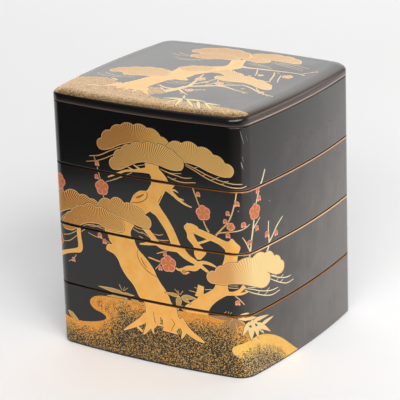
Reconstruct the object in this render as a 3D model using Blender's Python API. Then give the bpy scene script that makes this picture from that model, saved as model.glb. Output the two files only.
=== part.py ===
"""A tiered lacquer box of four stacking food trays under a lift-off lid.

Each tray is a lacquered wooden tray of nearly square plan: four walls that bow gently outwards,
rounded upright corners, a flat floor and an open top. The three upper trays stand on an inset foot
that drops into the mouth of the tray below, and the lid has an inset flange that does the same.
The bottom tray has no foot. It stands on the lower edge of its own walls, round a shallow recess.

Metres, +Z up. The origin is under the middle of the box, on the surface that it stands on.
The decorated front faces -Y.
"""

import math

import bmesh
import bpy

for old_object in list(bpy.data.objects):
    bpy.data.objects.remove(old_object, do_unlink=True)


# Plan of the box
WIDTH = 0.2300
DEPTH = 0.2230
END_BOW = 0.0082
FRONT_BOW = 0.0078
CORNER_RADIUS = 0.0178

# Heights. Each is the wall of one tray, from its lower edge to its rim.
BOTTOM_TRAY_HEIGHT = 0.0639
SECOND_TRAY_HEIGHT = 0.0617
THIRD_TRAY_HEIGHT = 0.0617
TOP_TRAY_HEIGHT = 0.0617

# The bare air left between two pieces where one stands on the other
STACKING_GAP = 0.0003

# Board thicknesses and edges
WALL_THICKNESS = 0.0050
FLOOR_THICKNESS = 0.0050
LOWER_EDGE_RADIUS = 0.0014
RIM_EDGE_RADIUS = 0.0009
RIM_INNER_CHAMFER = 0.0005
FLOOR_FILLET = 0.0030

# The inset foot under the upper trays, and how loosely it enters the mouth below
FOOT_DEPTH = 0.0030
FOOT_CLEARANCE = 0.0005
FOOT_CHAMFER = 0.0006

# The shallow recess under the bottom tray
BASE_RECESS_DEPTH = 0.0015
BASE_RING_WIDTH = 0.0060

# The lid
LID_BAND_HEIGHT = 0.0049
LID_SHOULDER_HEIGHT = 0.0070
LID_SHOULDER_WIDTH = 0.0140
LID_DOME_RISE = 0.0020
LID_TOP_THICKNESS = 0.0050
LID_FLANGE_THICKNESS = 0.0026
LID_FLANGE_DEPTH = 0.0030
LID_LOWER_EDGE_RADIUS = 0.0008

# How many straight steps stand for each curve
BOW_STEPS = 8
CORNER_STEPS = 6
EDGE_STEPS = 3
SHOULDER_STEPS = 5
DOME_STEPS = 3


def plan_outline(inset):
    """Points once round the plan, counter-clockwise, on a line parallel to the outer face."""
    half_width = WIDTH / 2
    half_depth = DEPTH / 2
    end_radius = (half_depth ** 2 + END_BOW ** 2) / (2 * END_BOW)
    front_radius = (half_width ** 2 + FRONT_BOW ** 2) / (2 * FRONT_BOW)
    # The long arc of the right end is centred on the X axis, that of the back on the Y axis.
    end_centre = half_width - end_radius
    front_centre = half_depth - front_radius
    # The corner's centre is where circles of the two radii less the corner's own radius meet.
    to_end = end_radius - CORNER_RADIUS
    to_front = front_radius - CORNER_RADIUS
    apart = math.hypot(end_centre, front_centre)
    along = (to_end ** 2 - to_front ** 2 + apart ** 2) / (2 * apart)
    across = math.sqrt(to_end ** 2 - along ** 2)
    unit_x = -end_centre / apart
    unit_y = front_centre / apart
    corner_x = end_centre + along * unit_x - across * unit_y
    corner_y = along * unit_y + across * unit_x
    first_angle = math.atan2(corner_y, corner_x - end_centre)
    last_angle = math.atan2(corner_y - front_centre, corner_x)

    quarter = []
    for step in range(BOW_STEPS // 2):
        angle = first_angle * step / (BOW_STEPS // 2)
        radius = end_radius - inset
        quarter.append((end_centre + radius * math.cos(angle), radius * math.sin(angle)))
    for step in range(CORNER_STEPS + 1):
        angle = first_angle + (last_angle - first_angle) * step / CORNER_STEPS
        radius = CORNER_RADIUS - inset
        quarter.append((corner_x + radius * math.cos(angle), corner_y + radius * math.sin(angle)))
    for step in range(1, BOW_STEPS // 2 + 1):
        angle = last_angle + (math.pi / 2 - last_angle) * step / (BOW_STEPS // 2)
        radius = front_radius - inset
        quarter.append((radius * math.cos(angle), front_centre + radius * math.sin(angle)))

    second = [(-x, y) for x, y in reversed(quarter[:-1])]
    half = quarter + second
    return half[:-1] + [(-x, -y) for x, y in half[:-1]]


def quarter_round(inset_from, height_from, inset_to, height_to, steps):
    """Section points of a quarter ellipse that leaves its first point upright."""
    points = []
    for step in range(1, steps + 1):
        turn = math.pi / 2 * step / steps
        inset = inset_from + (inset_to - inset_from) * (1 - math.cos(turn))
        height = height_from + (height_to - height_from) * math.sin(turn)
        points.append((inset, height, 1.0))
    return points


def lower_round(radius, height, steps):
    """Section points of the rounded lower edge of a wall, from its underside out to its face."""
    points = []
    for step in range(steps + 1):
        turn = math.pi / 2 * step / steps
        points.append((radius * (1 - math.sin(turn)), height + radius * (1 - math.cos(turn)), 1.0))
    return points


def solid_from_section(name, section, height, colour, roughness):
    """Extrude the plan step by step along a section of (inset, height, shrink)."""
    bm = bmesh.new()
    inset, level, shrink = section[0]
    first_cap = bm.faces.new([bm.verts.new((x * shrink, y * shrink, level)) for x, y in plan_outline(inset)])
    cap = first_cap
    for inset, level, shrink in section[1:]:
        extruded = bmesh.ops.extrude_face_region(bm, geom=[cap])["geom"]
        if cap is not first_cap:
            bmesh.ops.delete(bm, geom=[cap], context="FACES_ONLY")
        cap = next(item for item in extruded if isinstance(item, bmesh.types.BMFace))
        for vert, (x, y) in zip(cap.verts, plan_outline(inset)):
            vert.co = (x * shrink, y * shrink, level)
    bmesh.ops.recalc_face_normals(bm, faces=bm.faces)

    mesh = bpy.data.meshes.new(name)
    bm.to_mesh(mesh)
    bm.free()
    mesh.shade_smooth()
    mesh.set_sharp_from_angle(angle=math.radians(35))

    material = bpy.data.materials.new(name + "_lacquer")
    material.use_nodes = True
    shader = material.node_tree.nodes["Principled BSDF"]
    shader.inputs["Base Color"].default_value = (*colour, 1.0)
    shader.inputs["Roughness"].default_value = roughness
    shader.inputs["Metallic"].default_value = 0.0
    mesh.materials.append(material)

    piece = bpy.data.objects.new(name, mesh)
    bpy.context.scene.collection.objects.link(piece)
    piece.parent = stack
    piece.location = (0.0, 0.0, height)
    return piece


def tray_section(wall_height, foot_depth):
    """Section of a tray from the middle of its underside, up its outer face and down inside."""
    section = []
    if foot_depth > 0:
        foot_inset = WALL_THICKNESS + FOOT_CLEARANCE
        underside = -foot_depth
        section.append((foot_inset + FOOT_CHAMFER, underside, 1.0))
        section.append((foot_inset, underside + FOOT_CHAMFER, 1.0))
        section.append((foot_inset, 0.0, 1.0))
    else:
        underside = BASE_RECESS_DEPTH
        section.append((BASE_RING_WIDTH + BASE_RECESS_DEPTH, underside, 1.0))
        section.append((BASE_RING_WIDTH, 0.0, 1.0))
    section += lower_round(LOWER_EDGE_RADIUS, 0.0, EDGE_STEPS)
    section.append((0.0, wall_height - RIM_EDGE_RADIUS, 1.0))
    section += quarter_round(0.0, wall_height - RIM_EDGE_RADIUS, RIM_EDGE_RADIUS, wall_height, 2)
    section.append((WALL_THICKNESS - RIM_INNER_CHAMFER, wall_height, 1.0))
    section.append((WALL_THICKNESS, wall_height - RIM_INNER_CHAMFER, 1.0))
    floor = underside + FLOOR_THICKNESS
    for step in range(EDGE_STEPS + 1):
        turn = math.pi / 2 * step / EDGE_STEPS
        inset = WALL_THICKNESS + FLOOR_FILLET * (1 - math.cos(turn))
        section.append((inset, floor + FLOOR_FILLET * (1 - math.sin(turn)), 1.0))
    return section


def lid_section():
    """Section of the lid from the middle of its underside, round the flange and over the top."""
    flange_outside = WALL_THICKNESS + FOOT_CLEARANCE
    flange_inside = flange_outside + LID_FLANGE_THICKNESS
    shoulder_top = LID_BAND_HEIGHT + LID_SHOULDER_HEIGHT
    ceiling = shoulder_top - LID_TOP_THICKNESS
    section = []
    section.append((flange_inside + FLOOR_FILLET, ceiling, 1.0))
    section.append((flange_inside, ceiling - FLOOR_FILLET, 1.0))
    section.append((flange_inside, -LID_FLANGE_DEPTH, 1.0))
    section.append((flange_outside + FOOT_CHAMFER, -LID_FLANGE_DEPTH, 1.0))
    section.append((flange_outside, -LID_FLANGE_DEPTH + FOOT_CHAMFER, 1.0))
    section.append((flange_outside, 0.0, 1.0))
    section += lower_round(LID_LOWER_EDGE_RADIUS, 0.0, 2)
    section.append((0.0, LID_BAND_HEIGHT, 1.0))
    section += quarter_round(0.0, LID_BAND_HEIGHT, LID_SHOULDER_WIDTH, shoulder_top, SHOULDER_STEPS)
    for step in range(1, DOME_STEPS + 1):
        shrink = 1 - 0.85 * step / DOME_STEPS
        section.append((LID_SHOULDER_WIDTH, shoulder_top + LID_DOME_RISE * (1 - shrink ** 2), shrink))
    return section


stack = bpy.data.objects.new("lacquer_box", None)
bpy.context.scene.collection.objects.link(stack)

BLACK_LACQUER = (0.0048, 0.0040, 0.0038)
LACQUER_ROUGHNESS = 0.16

# The bottom tray stands on its own walls.
solid_from_section("bottom_tray", tray_section(BOTTOM_TRAY_HEIGHT, 0.0), 0.0,
                   BLACK_LACQUER, LACQUER_ROUGHNESS)

# Each tray above stands on the rim of the one below, with its foot in that one's mouth.
level = BOTTOM_TRAY_HEIGHT + STACKING_GAP
upper_trays = (
    ("second_tray", SECOND_TRAY_HEIGHT),
    ("third_tray", THIRD_TRAY_HEIGHT),
    ("top_tray", TOP_TRAY_HEIGHT),
)
for tray_name, tray_height in upper_trays:
    solid_from_section(tray_name, tray_section(tray_height, FOOT_DEPTH), level,
                       BLACK_LACQUER, LACQUER_ROUGHNESS)
    level += tray_height + STACKING_GAP

# The lid rests on the top tray's rim and lifts straight off.
solid_from_section("lid", lid_section(), level, BLACK_LACQUER, LACQUER_ROUGHNESS)
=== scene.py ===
import bisect
import math

import bmesh
import bpy
import numpy as np
from mathutils import Matrix, Vector
from mathutils.geometry import delaunay_2d_cdt


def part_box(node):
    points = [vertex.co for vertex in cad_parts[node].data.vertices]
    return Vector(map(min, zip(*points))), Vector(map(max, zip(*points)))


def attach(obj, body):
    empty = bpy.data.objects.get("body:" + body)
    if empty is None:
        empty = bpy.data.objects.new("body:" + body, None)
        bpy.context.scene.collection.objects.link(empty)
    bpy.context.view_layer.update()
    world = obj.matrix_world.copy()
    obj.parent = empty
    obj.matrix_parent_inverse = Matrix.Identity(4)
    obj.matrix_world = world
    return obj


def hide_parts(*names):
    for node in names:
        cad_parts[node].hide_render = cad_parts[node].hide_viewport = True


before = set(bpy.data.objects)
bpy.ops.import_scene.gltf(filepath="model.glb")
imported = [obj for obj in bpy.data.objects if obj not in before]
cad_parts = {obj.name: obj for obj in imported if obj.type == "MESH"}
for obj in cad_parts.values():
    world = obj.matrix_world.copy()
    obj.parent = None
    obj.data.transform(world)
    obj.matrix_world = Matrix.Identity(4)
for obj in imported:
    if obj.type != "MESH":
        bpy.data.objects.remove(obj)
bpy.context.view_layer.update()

# A tiered lacquer box: four stacking trays under a lift-off lid. The wood is covered in black lacquer, and
# one picture of pine, plum and bamboo runs over the front, the near corner, the right-hand side and the lid.
# The picture is gold dust set flush in the lacquer, so here it is cut into the skin of each piece as colour.
# It is marked out in millimetres. Meshes are in metres.


# View
# The photograph was taken from about two metres, from a little above the box, towards its near corner.
VIEW_TURN = math.radians(32.58)
VIEW_LIFT = math.radians(19.05)
VIEW_ROLL = math.radians(1.86)
VIEW_DISTANCE = 2.1737
VIEW_CENTRE_HEIGHT = 0.1309
IMAGE_PIXELS = 400
FOCAL_PIXELS = 2186.6
PRINCIPAL_X = 205.13
PRINCIPAL_Y = 201.37
SENSOR_WIDTH = 36.0

towards_camera = Vector((
    math.sin(VIEW_TURN) * math.cos(VIEW_LIFT),
    -math.cos(VIEW_TURN) * math.cos(VIEW_LIFT),
    math.sin(VIEW_LIFT),
))
level_right = Vector((math.cos(VIEW_TURN), math.sin(VIEW_TURN), 0.0))
view_up = towards_camera.cross(level_right)
image_right = level_right * math.cos(VIEW_ROLL) - view_up * math.sin(VIEW_ROLL)
image_up = level_right * math.sin(VIEW_ROLL) + view_up * math.cos(VIEW_ROLL)

camera_data = bpy.data.cameras.new("camera")
camera_data.sensor_width = SENSOR_WIDTH
camera_data.lens = SENSOR_WIDTH * FOCAL_PIXELS / IMAGE_PIXELS
camera_data.shift_x = (IMAGE_PIXELS / 2 - PRINCIPAL_X) / IMAGE_PIXELS
camera_data.shift_y = (PRINCIPAL_Y - IMAGE_PIXELS / 2) / IMAGE_PIXELS
camera = bpy.data.objects.new("camera", camera_data)
bpy.context.scene.collection.objects.link(camera)
camera.matrix_world = Matrix.Translation(
    Vector((0.0, 0.0, VIEW_CENTRE_HEIGHT)) + towards_camera * VIEW_DISTANCE
) @ Matrix((image_right, image_up, towards_camera)).transposed().to_4x4()
bpy.context.scene.camera = camera


# Floor and studio light
# A seamless pale floor that fills the picture, under large soft lights that stand well outside it. The main
# ones stand to the right of the box, and the lacquer mirrors the lit floor beside it and the dark room.
FLOOR_COLOUR = "#F0EFEF"
FLOOR_REACH = 7.0
FLOOR_END_RADIUS = 0.65
FLOOR_END_ANGLES = np.radians(np.arange(205, 326, 4))
WORLD_COLOUR = "#FFFFFF"
WORLD_STRENGTH = 0.09
BOX_MIDDLE = (0.0, 0.0, 0.12)


def linear(colour):
    """The linear red, green, blue and alpha of an sRGB hex colour."""
    parts = [int(colour[i:i + 2], 16) / 255 for i in (1, 3, 5)]
    return tuple(c / 12.92 if c <= 0.04045 else ((c + 0.055) / 1.055) ** 2.4 for c in parts) + (1.0,)


def softbox(name, width, height, place, aim, radiance, spread=180.0):
    """A flat rectangular light of that size in metres, which faces the point it is aimed at."""
    light = bpy.data.lights.new(name, "AREA")
    light.shape = "RECTANGLE"
    light.size = width
    light.size_y = height
    light.spread = math.radians(spread)
    light.energy = radiance * math.pi * width * height
    lamp = bpy.data.objects.new(name, light)
    bpy.context.scene.collection.objects.link(lamp)
    lamp.location = place
    lamp.rotation_euler = (Vector(place) - Vector(aim)).to_track_quat("Z", "Y").to_euler()


# The table has a round end not far in front of the box, and the lacquer shows the dark room beyond it
round_end = [(FLOOR_END_RADIUS * math.cos(angle), FLOOR_END_RADIUS * math.sin(angle))
             for angle in FLOOR_END_ANGLES]
corners = [(FLOOR_REACH, round_end[-1][1]), (FLOOR_REACH, FLOOR_REACH),
           (-FLOOR_REACH, FLOOR_REACH), (-FLOOR_REACH, round_end[0][1])]
bm = bmesh.new()
bm.faces.new([bm.verts.new((x, y, 0.0)) for x, y in round_end + corners])
floor_mesh = bpy.data.meshes.new("floor")
bm.to_mesh(floor_mesh)
bm.free()
floor = bpy.data.objects.new("floor", floor_mesh)
bpy.context.scene.collection.objects.link(floor)
floor_paper = bpy.data.materials.new("matt_paper")
floor_paper.use_nodes = True
floor_shader = floor_paper.node_tree.nodes["Principled BSDF"]
floor_shader.inputs["Base Color"].default_value = linear(FLOOR_COLOUR)
floor_shader.inputs["Roughness"].default_value = 0.9
floor_shader.inputs["Specular IOR Level"].default_value = 0.1
floor_mesh.materials.append(floor_paper)

world = bpy.data.worlds.new("studio")
world.use_nodes = True
world.node_tree.nodes["Background"].inputs["Color"].default_value = linear(WORLD_COLOUR)
world.node_tree.nodes["Background"].inputs["Strength"].default_value = WORLD_STRENGTH
bpy.context.scene.world = world
bpy.context.scene.view_settings.view_transform = "Standard"

softbox("over_the_back", 2.4, 1.6, (-0.6, 2.0, 2.2), (-0.3, 0.8, 0.0), 0.84)
softbox("back_wall", 5.0, 2.2, (-1.45, 2.27, 1.35), (0.0, 0.0, 0.6), 1.46)
softbox("front", 1.6, 1.6, (0.7, -3.8, 2.0), BOX_MIDDLE, 9.0)
softbox("right_front", 1.9, 1.9, (2.2, -2.75, 2.4), BOX_MIDDLE, 9.0)
softbox("right", 1.9, 1.9, (3.0, -1.4, 2.8), BOX_MIDDLE, 6.2)
softbox("right_back", 2.6, 1.6, (2.4, 2.6, 1.2), BOX_MIDDLE, 2.2)
softbox("floor_behind", 0.5, 0.5, (0.6, 1.35, 1.0), (0.34, 0.72, 0.0), 0.5, spread=50.0)


# Plan of the box
# The walls are bent boards: each side bows out a little and runs into an upright corner of small radius.
# A place on a wall is named by how far it is along the outline from the middle of the near corner, to the
# right positive, and by its height. The seam of the flattened outline is at the middle of the back.
MM = 0.001
END_BOW = 8.2
FRONT_BOW = 7.8
CORNER_RADIUS = 17.8
BOW_STEPS = 22
CORNER_STEPS = 16

half_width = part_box("bottom_tray")[1].x / MM
half_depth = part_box("bottom_tray")[1].y / MM
end_radius = (half_depth ** 2 + END_BOW ** 2) / (2 * END_BOW)
front_radius = (half_width ** 2 + FRONT_BOW ** 2) / (2 * FRONT_BOW)
end_centre = half_width - end_radius
front_centre = half_depth - front_radius
centres_apart = math.hypot(end_centre, front_centre)
corner_along = ((end_radius - CORNER_RADIUS) ** 2 - (front_radius - CORNER_RADIUS) ** 2
                + centres_apart ** 2) / (2 * centres_apart)
corner_across = math.sqrt((end_radius - CORNER_RADIUS) ** 2 - corner_along ** 2)
corner_x = end_centre + (corner_along * -end_centre - corner_across * front_centre) / centres_apart
corner_y = (corner_along * front_centre + corner_across * -end_centre) / centres_apart
end_turn = math.atan2(corner_y, corner_x - end_centre)
front_turn = math.atan2(corner_y - front_centre, corner_x)
corner_turn = front_turn - end_turn

# Each arc of the outline, counter-clockwise from the middle of the near corner, as its centre, its radius,
# its first angle, the angle that it turns through and the steps that it is drawn in
outline_arcs = [
    (corner_x, -corner_y, CORNER_RADIUS, -(end_turn + front_turn) / 2, corner_turn / 2, CORNER_STEPS // 2),
    (end_centre, 0.0, end_radius, -end_turn, 2 * end_turn, BOW_STEPS),
    (corner_x, corner_y, CORNER_RADIUS, end_turn, corner_turn, CORNER_STEPS),
    (0.0, front_centre, front_radius, front_turn, math.pi - 2 * front_turn, BOW_STEPS),
    (-corner_x, corner_y, CORNER_RADIUS, math.pi - front_turn, corner_turn, CORNER_STEPS),
    (-end_centre, 0.0, end_radius, math.pi - end_turn, 2 * end_turn, BOW_STEPS),
    (-corner_x, -corner_y, CORNER_RADIUS, math.pi + end_turn, corner_turn, CORNER_STEPS),
    (0.0, -front_centre, front_radius, math.pi + front_turn, math.pi - 2 * front_turn, BOW_STEPS),
    (corner_x, -corner_y, CORNER_RADIUS, -front_turn, corner_turn / 2, CORNER_STEPS // 2),
]
arc_lengths = [radius * turn for _, _, radius, _, turn, _ in outline_arcs]
arc_starts = [sum(arc_lengths[:i]) for i in range(len(arc_lengths))]
perimeter = sum(arc_lengths)
seam = arc_starts[3] + arc_lengths[3] / 2


def on_outline(along, inset):
    """The plan point that far along the outline, on a line that far inside it, and its way out."""
    along %= perimeter
    i = bisect.bisect_right(arc_starts, along) - 1
    centre_x, centre_y, radius, first_angle, _, _ = outline_arcs[i]
    angle = first_angle + (along - arc_starts[i]) / radius
    out = Vector((math.cos(angle), math.sin(angle), 0.0))
    return Vector((centre_x, centre_y, 0.0)) + out * (radius - inset), out


def outline_marks():
    """Where the outline is drawn with a point, as lengths along it from seam to seam."""
    marks = []
    for start, length, (*_, steps) in zip(arc_starts, arc_lengths, outline_arcs):
        marks += [start + length * step / steps for step in range(steps)]
    return sorted(m - perimeter if m > seam - 0.001 else m for m in marks) + [seam]


# Drawing tools
# A maki-e worker draws each motif in outline, then fills it. Fine lines of bare lacquer part one motif from
# the next, and a slightly raised, brighter line of gold runs round each one.
PARTING_WIDTH = 0.45
EDGE_LINE_WIDTH = 0.65
POINT_SPACING = 1.3
UNDERSIDE_POINT_SPACING = 2.0
ARC_STEPS = 11
LEAF_SHAPE = ((0.0, 0.15), (0.18, 0.8), (0.38, 1.0), (0.68, 0.65), (1.0, 0.05))


def smooth(points, spacing=POINT_SPACING):
    """Points about that far apart on a smooth curve through the given ones."""
    given = np.array(points, float)
    run = np.vstack([2 * given[0] - given[1], given, 2 * given[-1] - given[-2]])
    drawn = []
    for a, b, c, d in zip(run, run[1:], run[2:], run[3:]):
        count = max(1, round(math.dist(b[:2], c[:2]) / spacing))
        for t in np.arange(count) / count:
            drawn.append((2 * b + (c - a) * t + (2 * a - 5 * b + 4 * c - d) * t ** 2
                          + (3 * b - a - 3 * c + d) * t ** 3) / 2)
    return np.array(drawn + [given[-1]])


def wound(outline):
    """The outline turned to run counter-clockwise."""
    after = np.roll(outline, -1, axis=0)
    area = (outline[:, 0] * after[:, 1] - after[:, 0] * outline[:, 1]).sum()
    return outline if area > 0 else outline[::-1]


def stroke(*points):
    """A brush stroke through points given as across, up and the width of the stroke there."""
    spine = smooth(points)
    heading = np.gradient(spine[:, :2], axis=0)
    heading /= np.linalg.norm(heading, axis=1)[:, None]
    side = heading[:, ::-1] * (-0.5, 0.5) * spine[:, 2:]
    return np.vstack([spine[:, :2] + side, (spine[:, :2] - side)[::-1]])


def between(one_edge, other_edge):
    """A limb between its two edges, both drawn from the same end."""
    return np.vstack([smooth(one_edge), smooth(other_edge)[::-1]])


def scalloped(tops, underside):
    """A bank of pine needles: arcs over its top, left to right, each with its bulge, and its underside."""
    outline = []
    for (x0, y0, bulge), (x1, y1, _) in zip(tops, tops[1:]):
        half = math.dist((x0, y0), (x1, y1)) / 2
        rise = 2 * half * bulge
        radius = (half ** 2 + rise ** 2) / (2 * rise)
        opening = 2 * math.atan2(rise, half)
        along = np.array((x1 - x0, y1 - y0)) / (2 * half)
        up = np.array((-along[1], along[0]))
        centre = np.array((x0 + x1, y0 + y1)) / 2 - up * (radius - rise)
        for angle in np.linspace(-opening, opening, ARC_STEPS + 1)[:-1]:
            outline.append(centre + radius * (math.sin(angle) * along + math.cos(angle) * up))
    back = smooth([tops[-1][:2], *underside, tops[0][:2]], UNDERSIDE_POINT_SPACING)
    return np.vstack([outline, back[:-1]])


def blossom(x, y, radius, turn=90.0):
    """A plum blossom seen from the front: five round petals, the first of them that many degrees round."""
    angles = np.radians(np.arange(0, 360, 7.5))
    reach = radius * (0.85 + 0.15 * np.abs(np.cos(2.5 * (angles - math.radians(turn)))))
    return np.column_stack([x + reach * np.cos(angles), y + reach * np.sin(angles)])


def petal_lines(blossoms):
    """The pale lines that part the petals of each blossom."""
    lines = []
    for x, y, radius, turn in blossoms:
        for petal in range(5):
            angle = math.radians(turn + 36 + 72 * petal)
            way = np.array((math.cos(angle), math.sin(angle)))
            lines.append(stroke((*(x, y) + way * radius * 0.25, 0.5), (*(x, y) + way * radius * 0.85, 0.7)))
    return lines


def disc(x, y, radius):
    """A small round dab."""
    angles = np.radians(np.arange(0, 360, 24))
    return np.column_stack([x + radius * np.cos(angles), y + radius * np.sin(angles)])


def leaf(root_x, root_y, tip_x, tip_y, width):
    """A bamboo leaf, broadest a third of the way along."""
    root = np.array((root_x, root_y))
    way = np.array((tip_x, tip_y)) - root
    return stroke(*[(*(root + way * share), width * fullness) for share, fullness in LEAF_SHAPE])


def drawn_in(outline, inset):
    """The outline drawn that far inside itself, or outside itself where the distance is negative."""
    ways = []
    for way in (outline - np.roll(outline, 1, axis=0), np.roll(outline, -1, axis=0) - outline):
        way = way / np.maximum(np.linalg.norm(way, axis=1), 1e-9)[:, None]
        ways.append(np.column_stack([-way[:, 1], way[:, 0]]))
    inward = ways[0] + ways[1]
    inward /= np.maximum(np.linalg.norm(inward, axis=1), 1e-9)[:, None]
    reach = inset / np.maximum((inward * ways[0]).sum(axis=1), 0.5)
    return outline + inward * reach[:, None]


def lay(picture, outlines, finish, edge="edge_gold", root=(0.0, 0.0), edge_width=EDGE_LINE_WIDTH):
    """Lay a motif over what is there: its parting line, then its edge line, then its fill."""
    outlines = [wound(outline) for outline in outlines]
    picture += [(drawn_in(outline, -PARTING_WIDTH), "black_lacquer", root) for outline in outlines]
    picture += [(outline, edge, root) for outline in outlines]
    picture += [(drawn_in(outline, edge_width), finish, root) for outline in outlines]


def touch(picture, outlines, finish, root=(0.0, 0.0)):
    """Add thin strokes or dabs of one finish, with no line round them."""
    picture += [(wound(outline), finish, root) for outline in outlines]


def inside(outline, points):
    """Which of the points lie inside a counter-clockwise outline."""
    found = np.zeros(len(points), bool)
    low, high = outline.min(axis=0), outline.max(axis=0)
    near = np.nonzero(((points >= low) & (points <= high)).all(axis=1))[0]
    x, y = points[near].T
    turns = np.zeros(len(near), int)
    for (ax, ay), (bx, by) in zip(outline, np.roll(outline, -1, axis=0)):
        left_of = (bx - ax) * (y - ay) - (x - ax) * (by - ay)
        turns += (ay <= y) & (by > y) & (left_of > 0)
        turns -= (ay > y) & (by <= y) & (left_of < 0)
    found[near] = turns > 0
    return found


# The picture on the walls
# An old pine leans over the front, with a plum in blossom behind it and bamboo at its foot. It runs over the
# joints between the trays and round the near corner, so it is drawn once, over the whole height.
wall_picture = []
GROUND_BOTTOM = -6.0

# Two banks of ground, dense with gold dust under their crests and thinly sprinkled below
rear_crest = smooth([
    (-268, -5), (-258, 4), (-247, 12), (-236, 19), (-222, 25), (-208, 28), (-190, 26.5), (-178, 28),
    (-165, 31), (-156.5, 34.5), (-155, 38), (-161, 41), (-169, 43), (-174, 47.5), (-173.5, 52.5), (-167, 57),
    (-155, 59.5), (-138, 60.5), (-110, 61.5), (-80, 60), (-60, 60.5), (-40, 61), (-15, 62), (-5, 60.8),
    (0.5, 56.5), (4, 49), (7, 41), (9, 30),
])
near_crest = smooth([
    (-13, 28), (-12, 31.5), (-8, 34), (0, 36.8), (8, 39.3), (16, 40), (25, 38.4), (35, 35), (45, 30.3),
    (55, 24), (65, 16.5), (75, 8.5), (84, 1.5), (92, -4),
])
rear_ground = np.vstack([rear_crest, [(9, GROUND_BOTTOM), (-268, GROUND_BOTTOM)]])
near_ground = np.vstack([near_crest, [(92, GROUND_BOTTOM), (2, GROUND_BOTTOM), (-4, 20), (-11, 25)]])

# The plum, which comes up behind the pine's root and turns round the near corner
plum_limbs = [
    between([(-62, 60), (-62, 66), (-57, 70), (-50, 75.5), (-43, 80.5), (-35, 85.5), (-30.5, 89), (-28, 94),
             (-24, 104), (-21, 113), (-18.5, 120), (-17.3, 126), (-17.2, 129.5), (-22, 133.5), (-30, 136.5),
             (-40, 139), (-50, 142)],
            [(-37, 60), (-36.5, 65), (-33, 71), (-27, 77), (-20, 82), (-14, 86), (-15.5, 92), (-13, 100),
             (-8, 110), (-5.5, 119), (-4.5, 126), (-2, 133.3), (-6, 138), (-10, 142), (-15, 138.4),
             (-30, 143.3), (-48, 148.5)]),
    stroke((-46, 145.5, 7), (-52, 147.5, 7.5), (-57.5, 148, 6.5)),
    between([(-56, 151.3), (-60.2, 147), (-57.2, 141), (-56.5, 135.5), (-50, 128), (-50, 121), (-47, 116)],
            [(-50, 149), (-50.5, 145), (-49, 139), (-44.5, 132), (-40.5, 128), (-37, 124), (-43, 116.5)]),
    stroke((-47, 132, 2.4), (-40, 134.6, 2.2), (-32, 138.6, 2.6)),
    stroke((-46, 78, 10), (-45, 83, 7.4), (-43.8, 90, 6.6)),
    stroke((-17, 86, 4), (-9, 87.3, 3.6), (-3.5, 90, 3.4), (1, 94.5, 4.2)),
    stroke((-10, 86, 2), (-2, 86.8, 2.4), (4, 88.2, 1.6)),
]
plum_twigs = [
    stroke((-49.5, 187.6, 1.2), (-46, 178, 1.1), (-42.5, 169, 1.4)),
    stroke((-39.3, 157, 1.3), (-37, 151, 1.3), (-33.5, 145, 2)),
    stroke((-26.5, 143, 2), (-20, 150, 1.5), (-13, 158, 1.4), (-9, 167, 1.3), (-6, 178, 1.3),
           (-4.2, 187.8, 1)),
    stroke((-24, 145.6, 1.3), (-12, 148.2, 1.2), (0, 150.6, 1.1), (8.5, 154.6, 0.8)),
    stroke((0.2, 143, 0.7), (4, 136.5, 1.2), (7.5, 128.5, 1.5), (8, 126, 2), (6.5, 121, 2)),
    stroke((8, 126, 1.8), (10, 138, 2), (12.3, 148, 2.2), (14.5, 158, 1.8)),
    stroke((17.5, 171, 1.8), (20.5, 178, 1.8), (24, 187, 1.8), (28, 192, 1.8), (33, 202, 1.6)),
    stroke((13, 149, 1.6), (17, 152, 1.3), (23.5, 157.4, 0.8)),
    stroke((37, 149.5, 1.2), (36.4, 140, 1.6), (37.2, 129, 2), (36, 123.5, 2), (32.5, 119, 2)),
    stroke((37.2, 128, 1.8), (43, 133, 1.6), (51, 141, 1.6), (60.5, 147.2, 1)),
    stroke((-8.5, 85, 0.9), (-4, 81, 0.9), (0.5, 75.5, 0.7)),
    stroke((-157, 192, 1), (-154.5, 182, 1), (-152, 172, 1), (-150.8, 158, 1.4)),
    stroke((-160.5, 202, 0.8), (-158, 196, 1)),
    stroke((-101, 109.7, 1.6), (-94, 108.4, 1.5), (-86, 107, 1.5)),
    stroke((-93.5, 99, 0.9), (-86, 107, 1)), stroke((-91.5, 115, 0.8), (-85, 117.6, 1.2), (-77, 121, 1.6)),
    stroke((-172, 122.2, 0.7), (-164, 120, 0.8), (-154, 119, 0.9), (-146, 116, 1)),
    stroke((-203, 163, 1.2), (-200, 157, 1.4)), stroke((-199.5, 87, 0.7), (-193, 91, 0.9), (-189, 96, 0.8)),
]
lay(wall_picture, plum_twigs, "needle_gold", edge="needle_gold", edge_width=0.3)
lay(wall_picture, plum_limbs, "bark_gold")
touch(wall_picture, [rear_ground], "sprinkled_ground", root=rear_crest)

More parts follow.
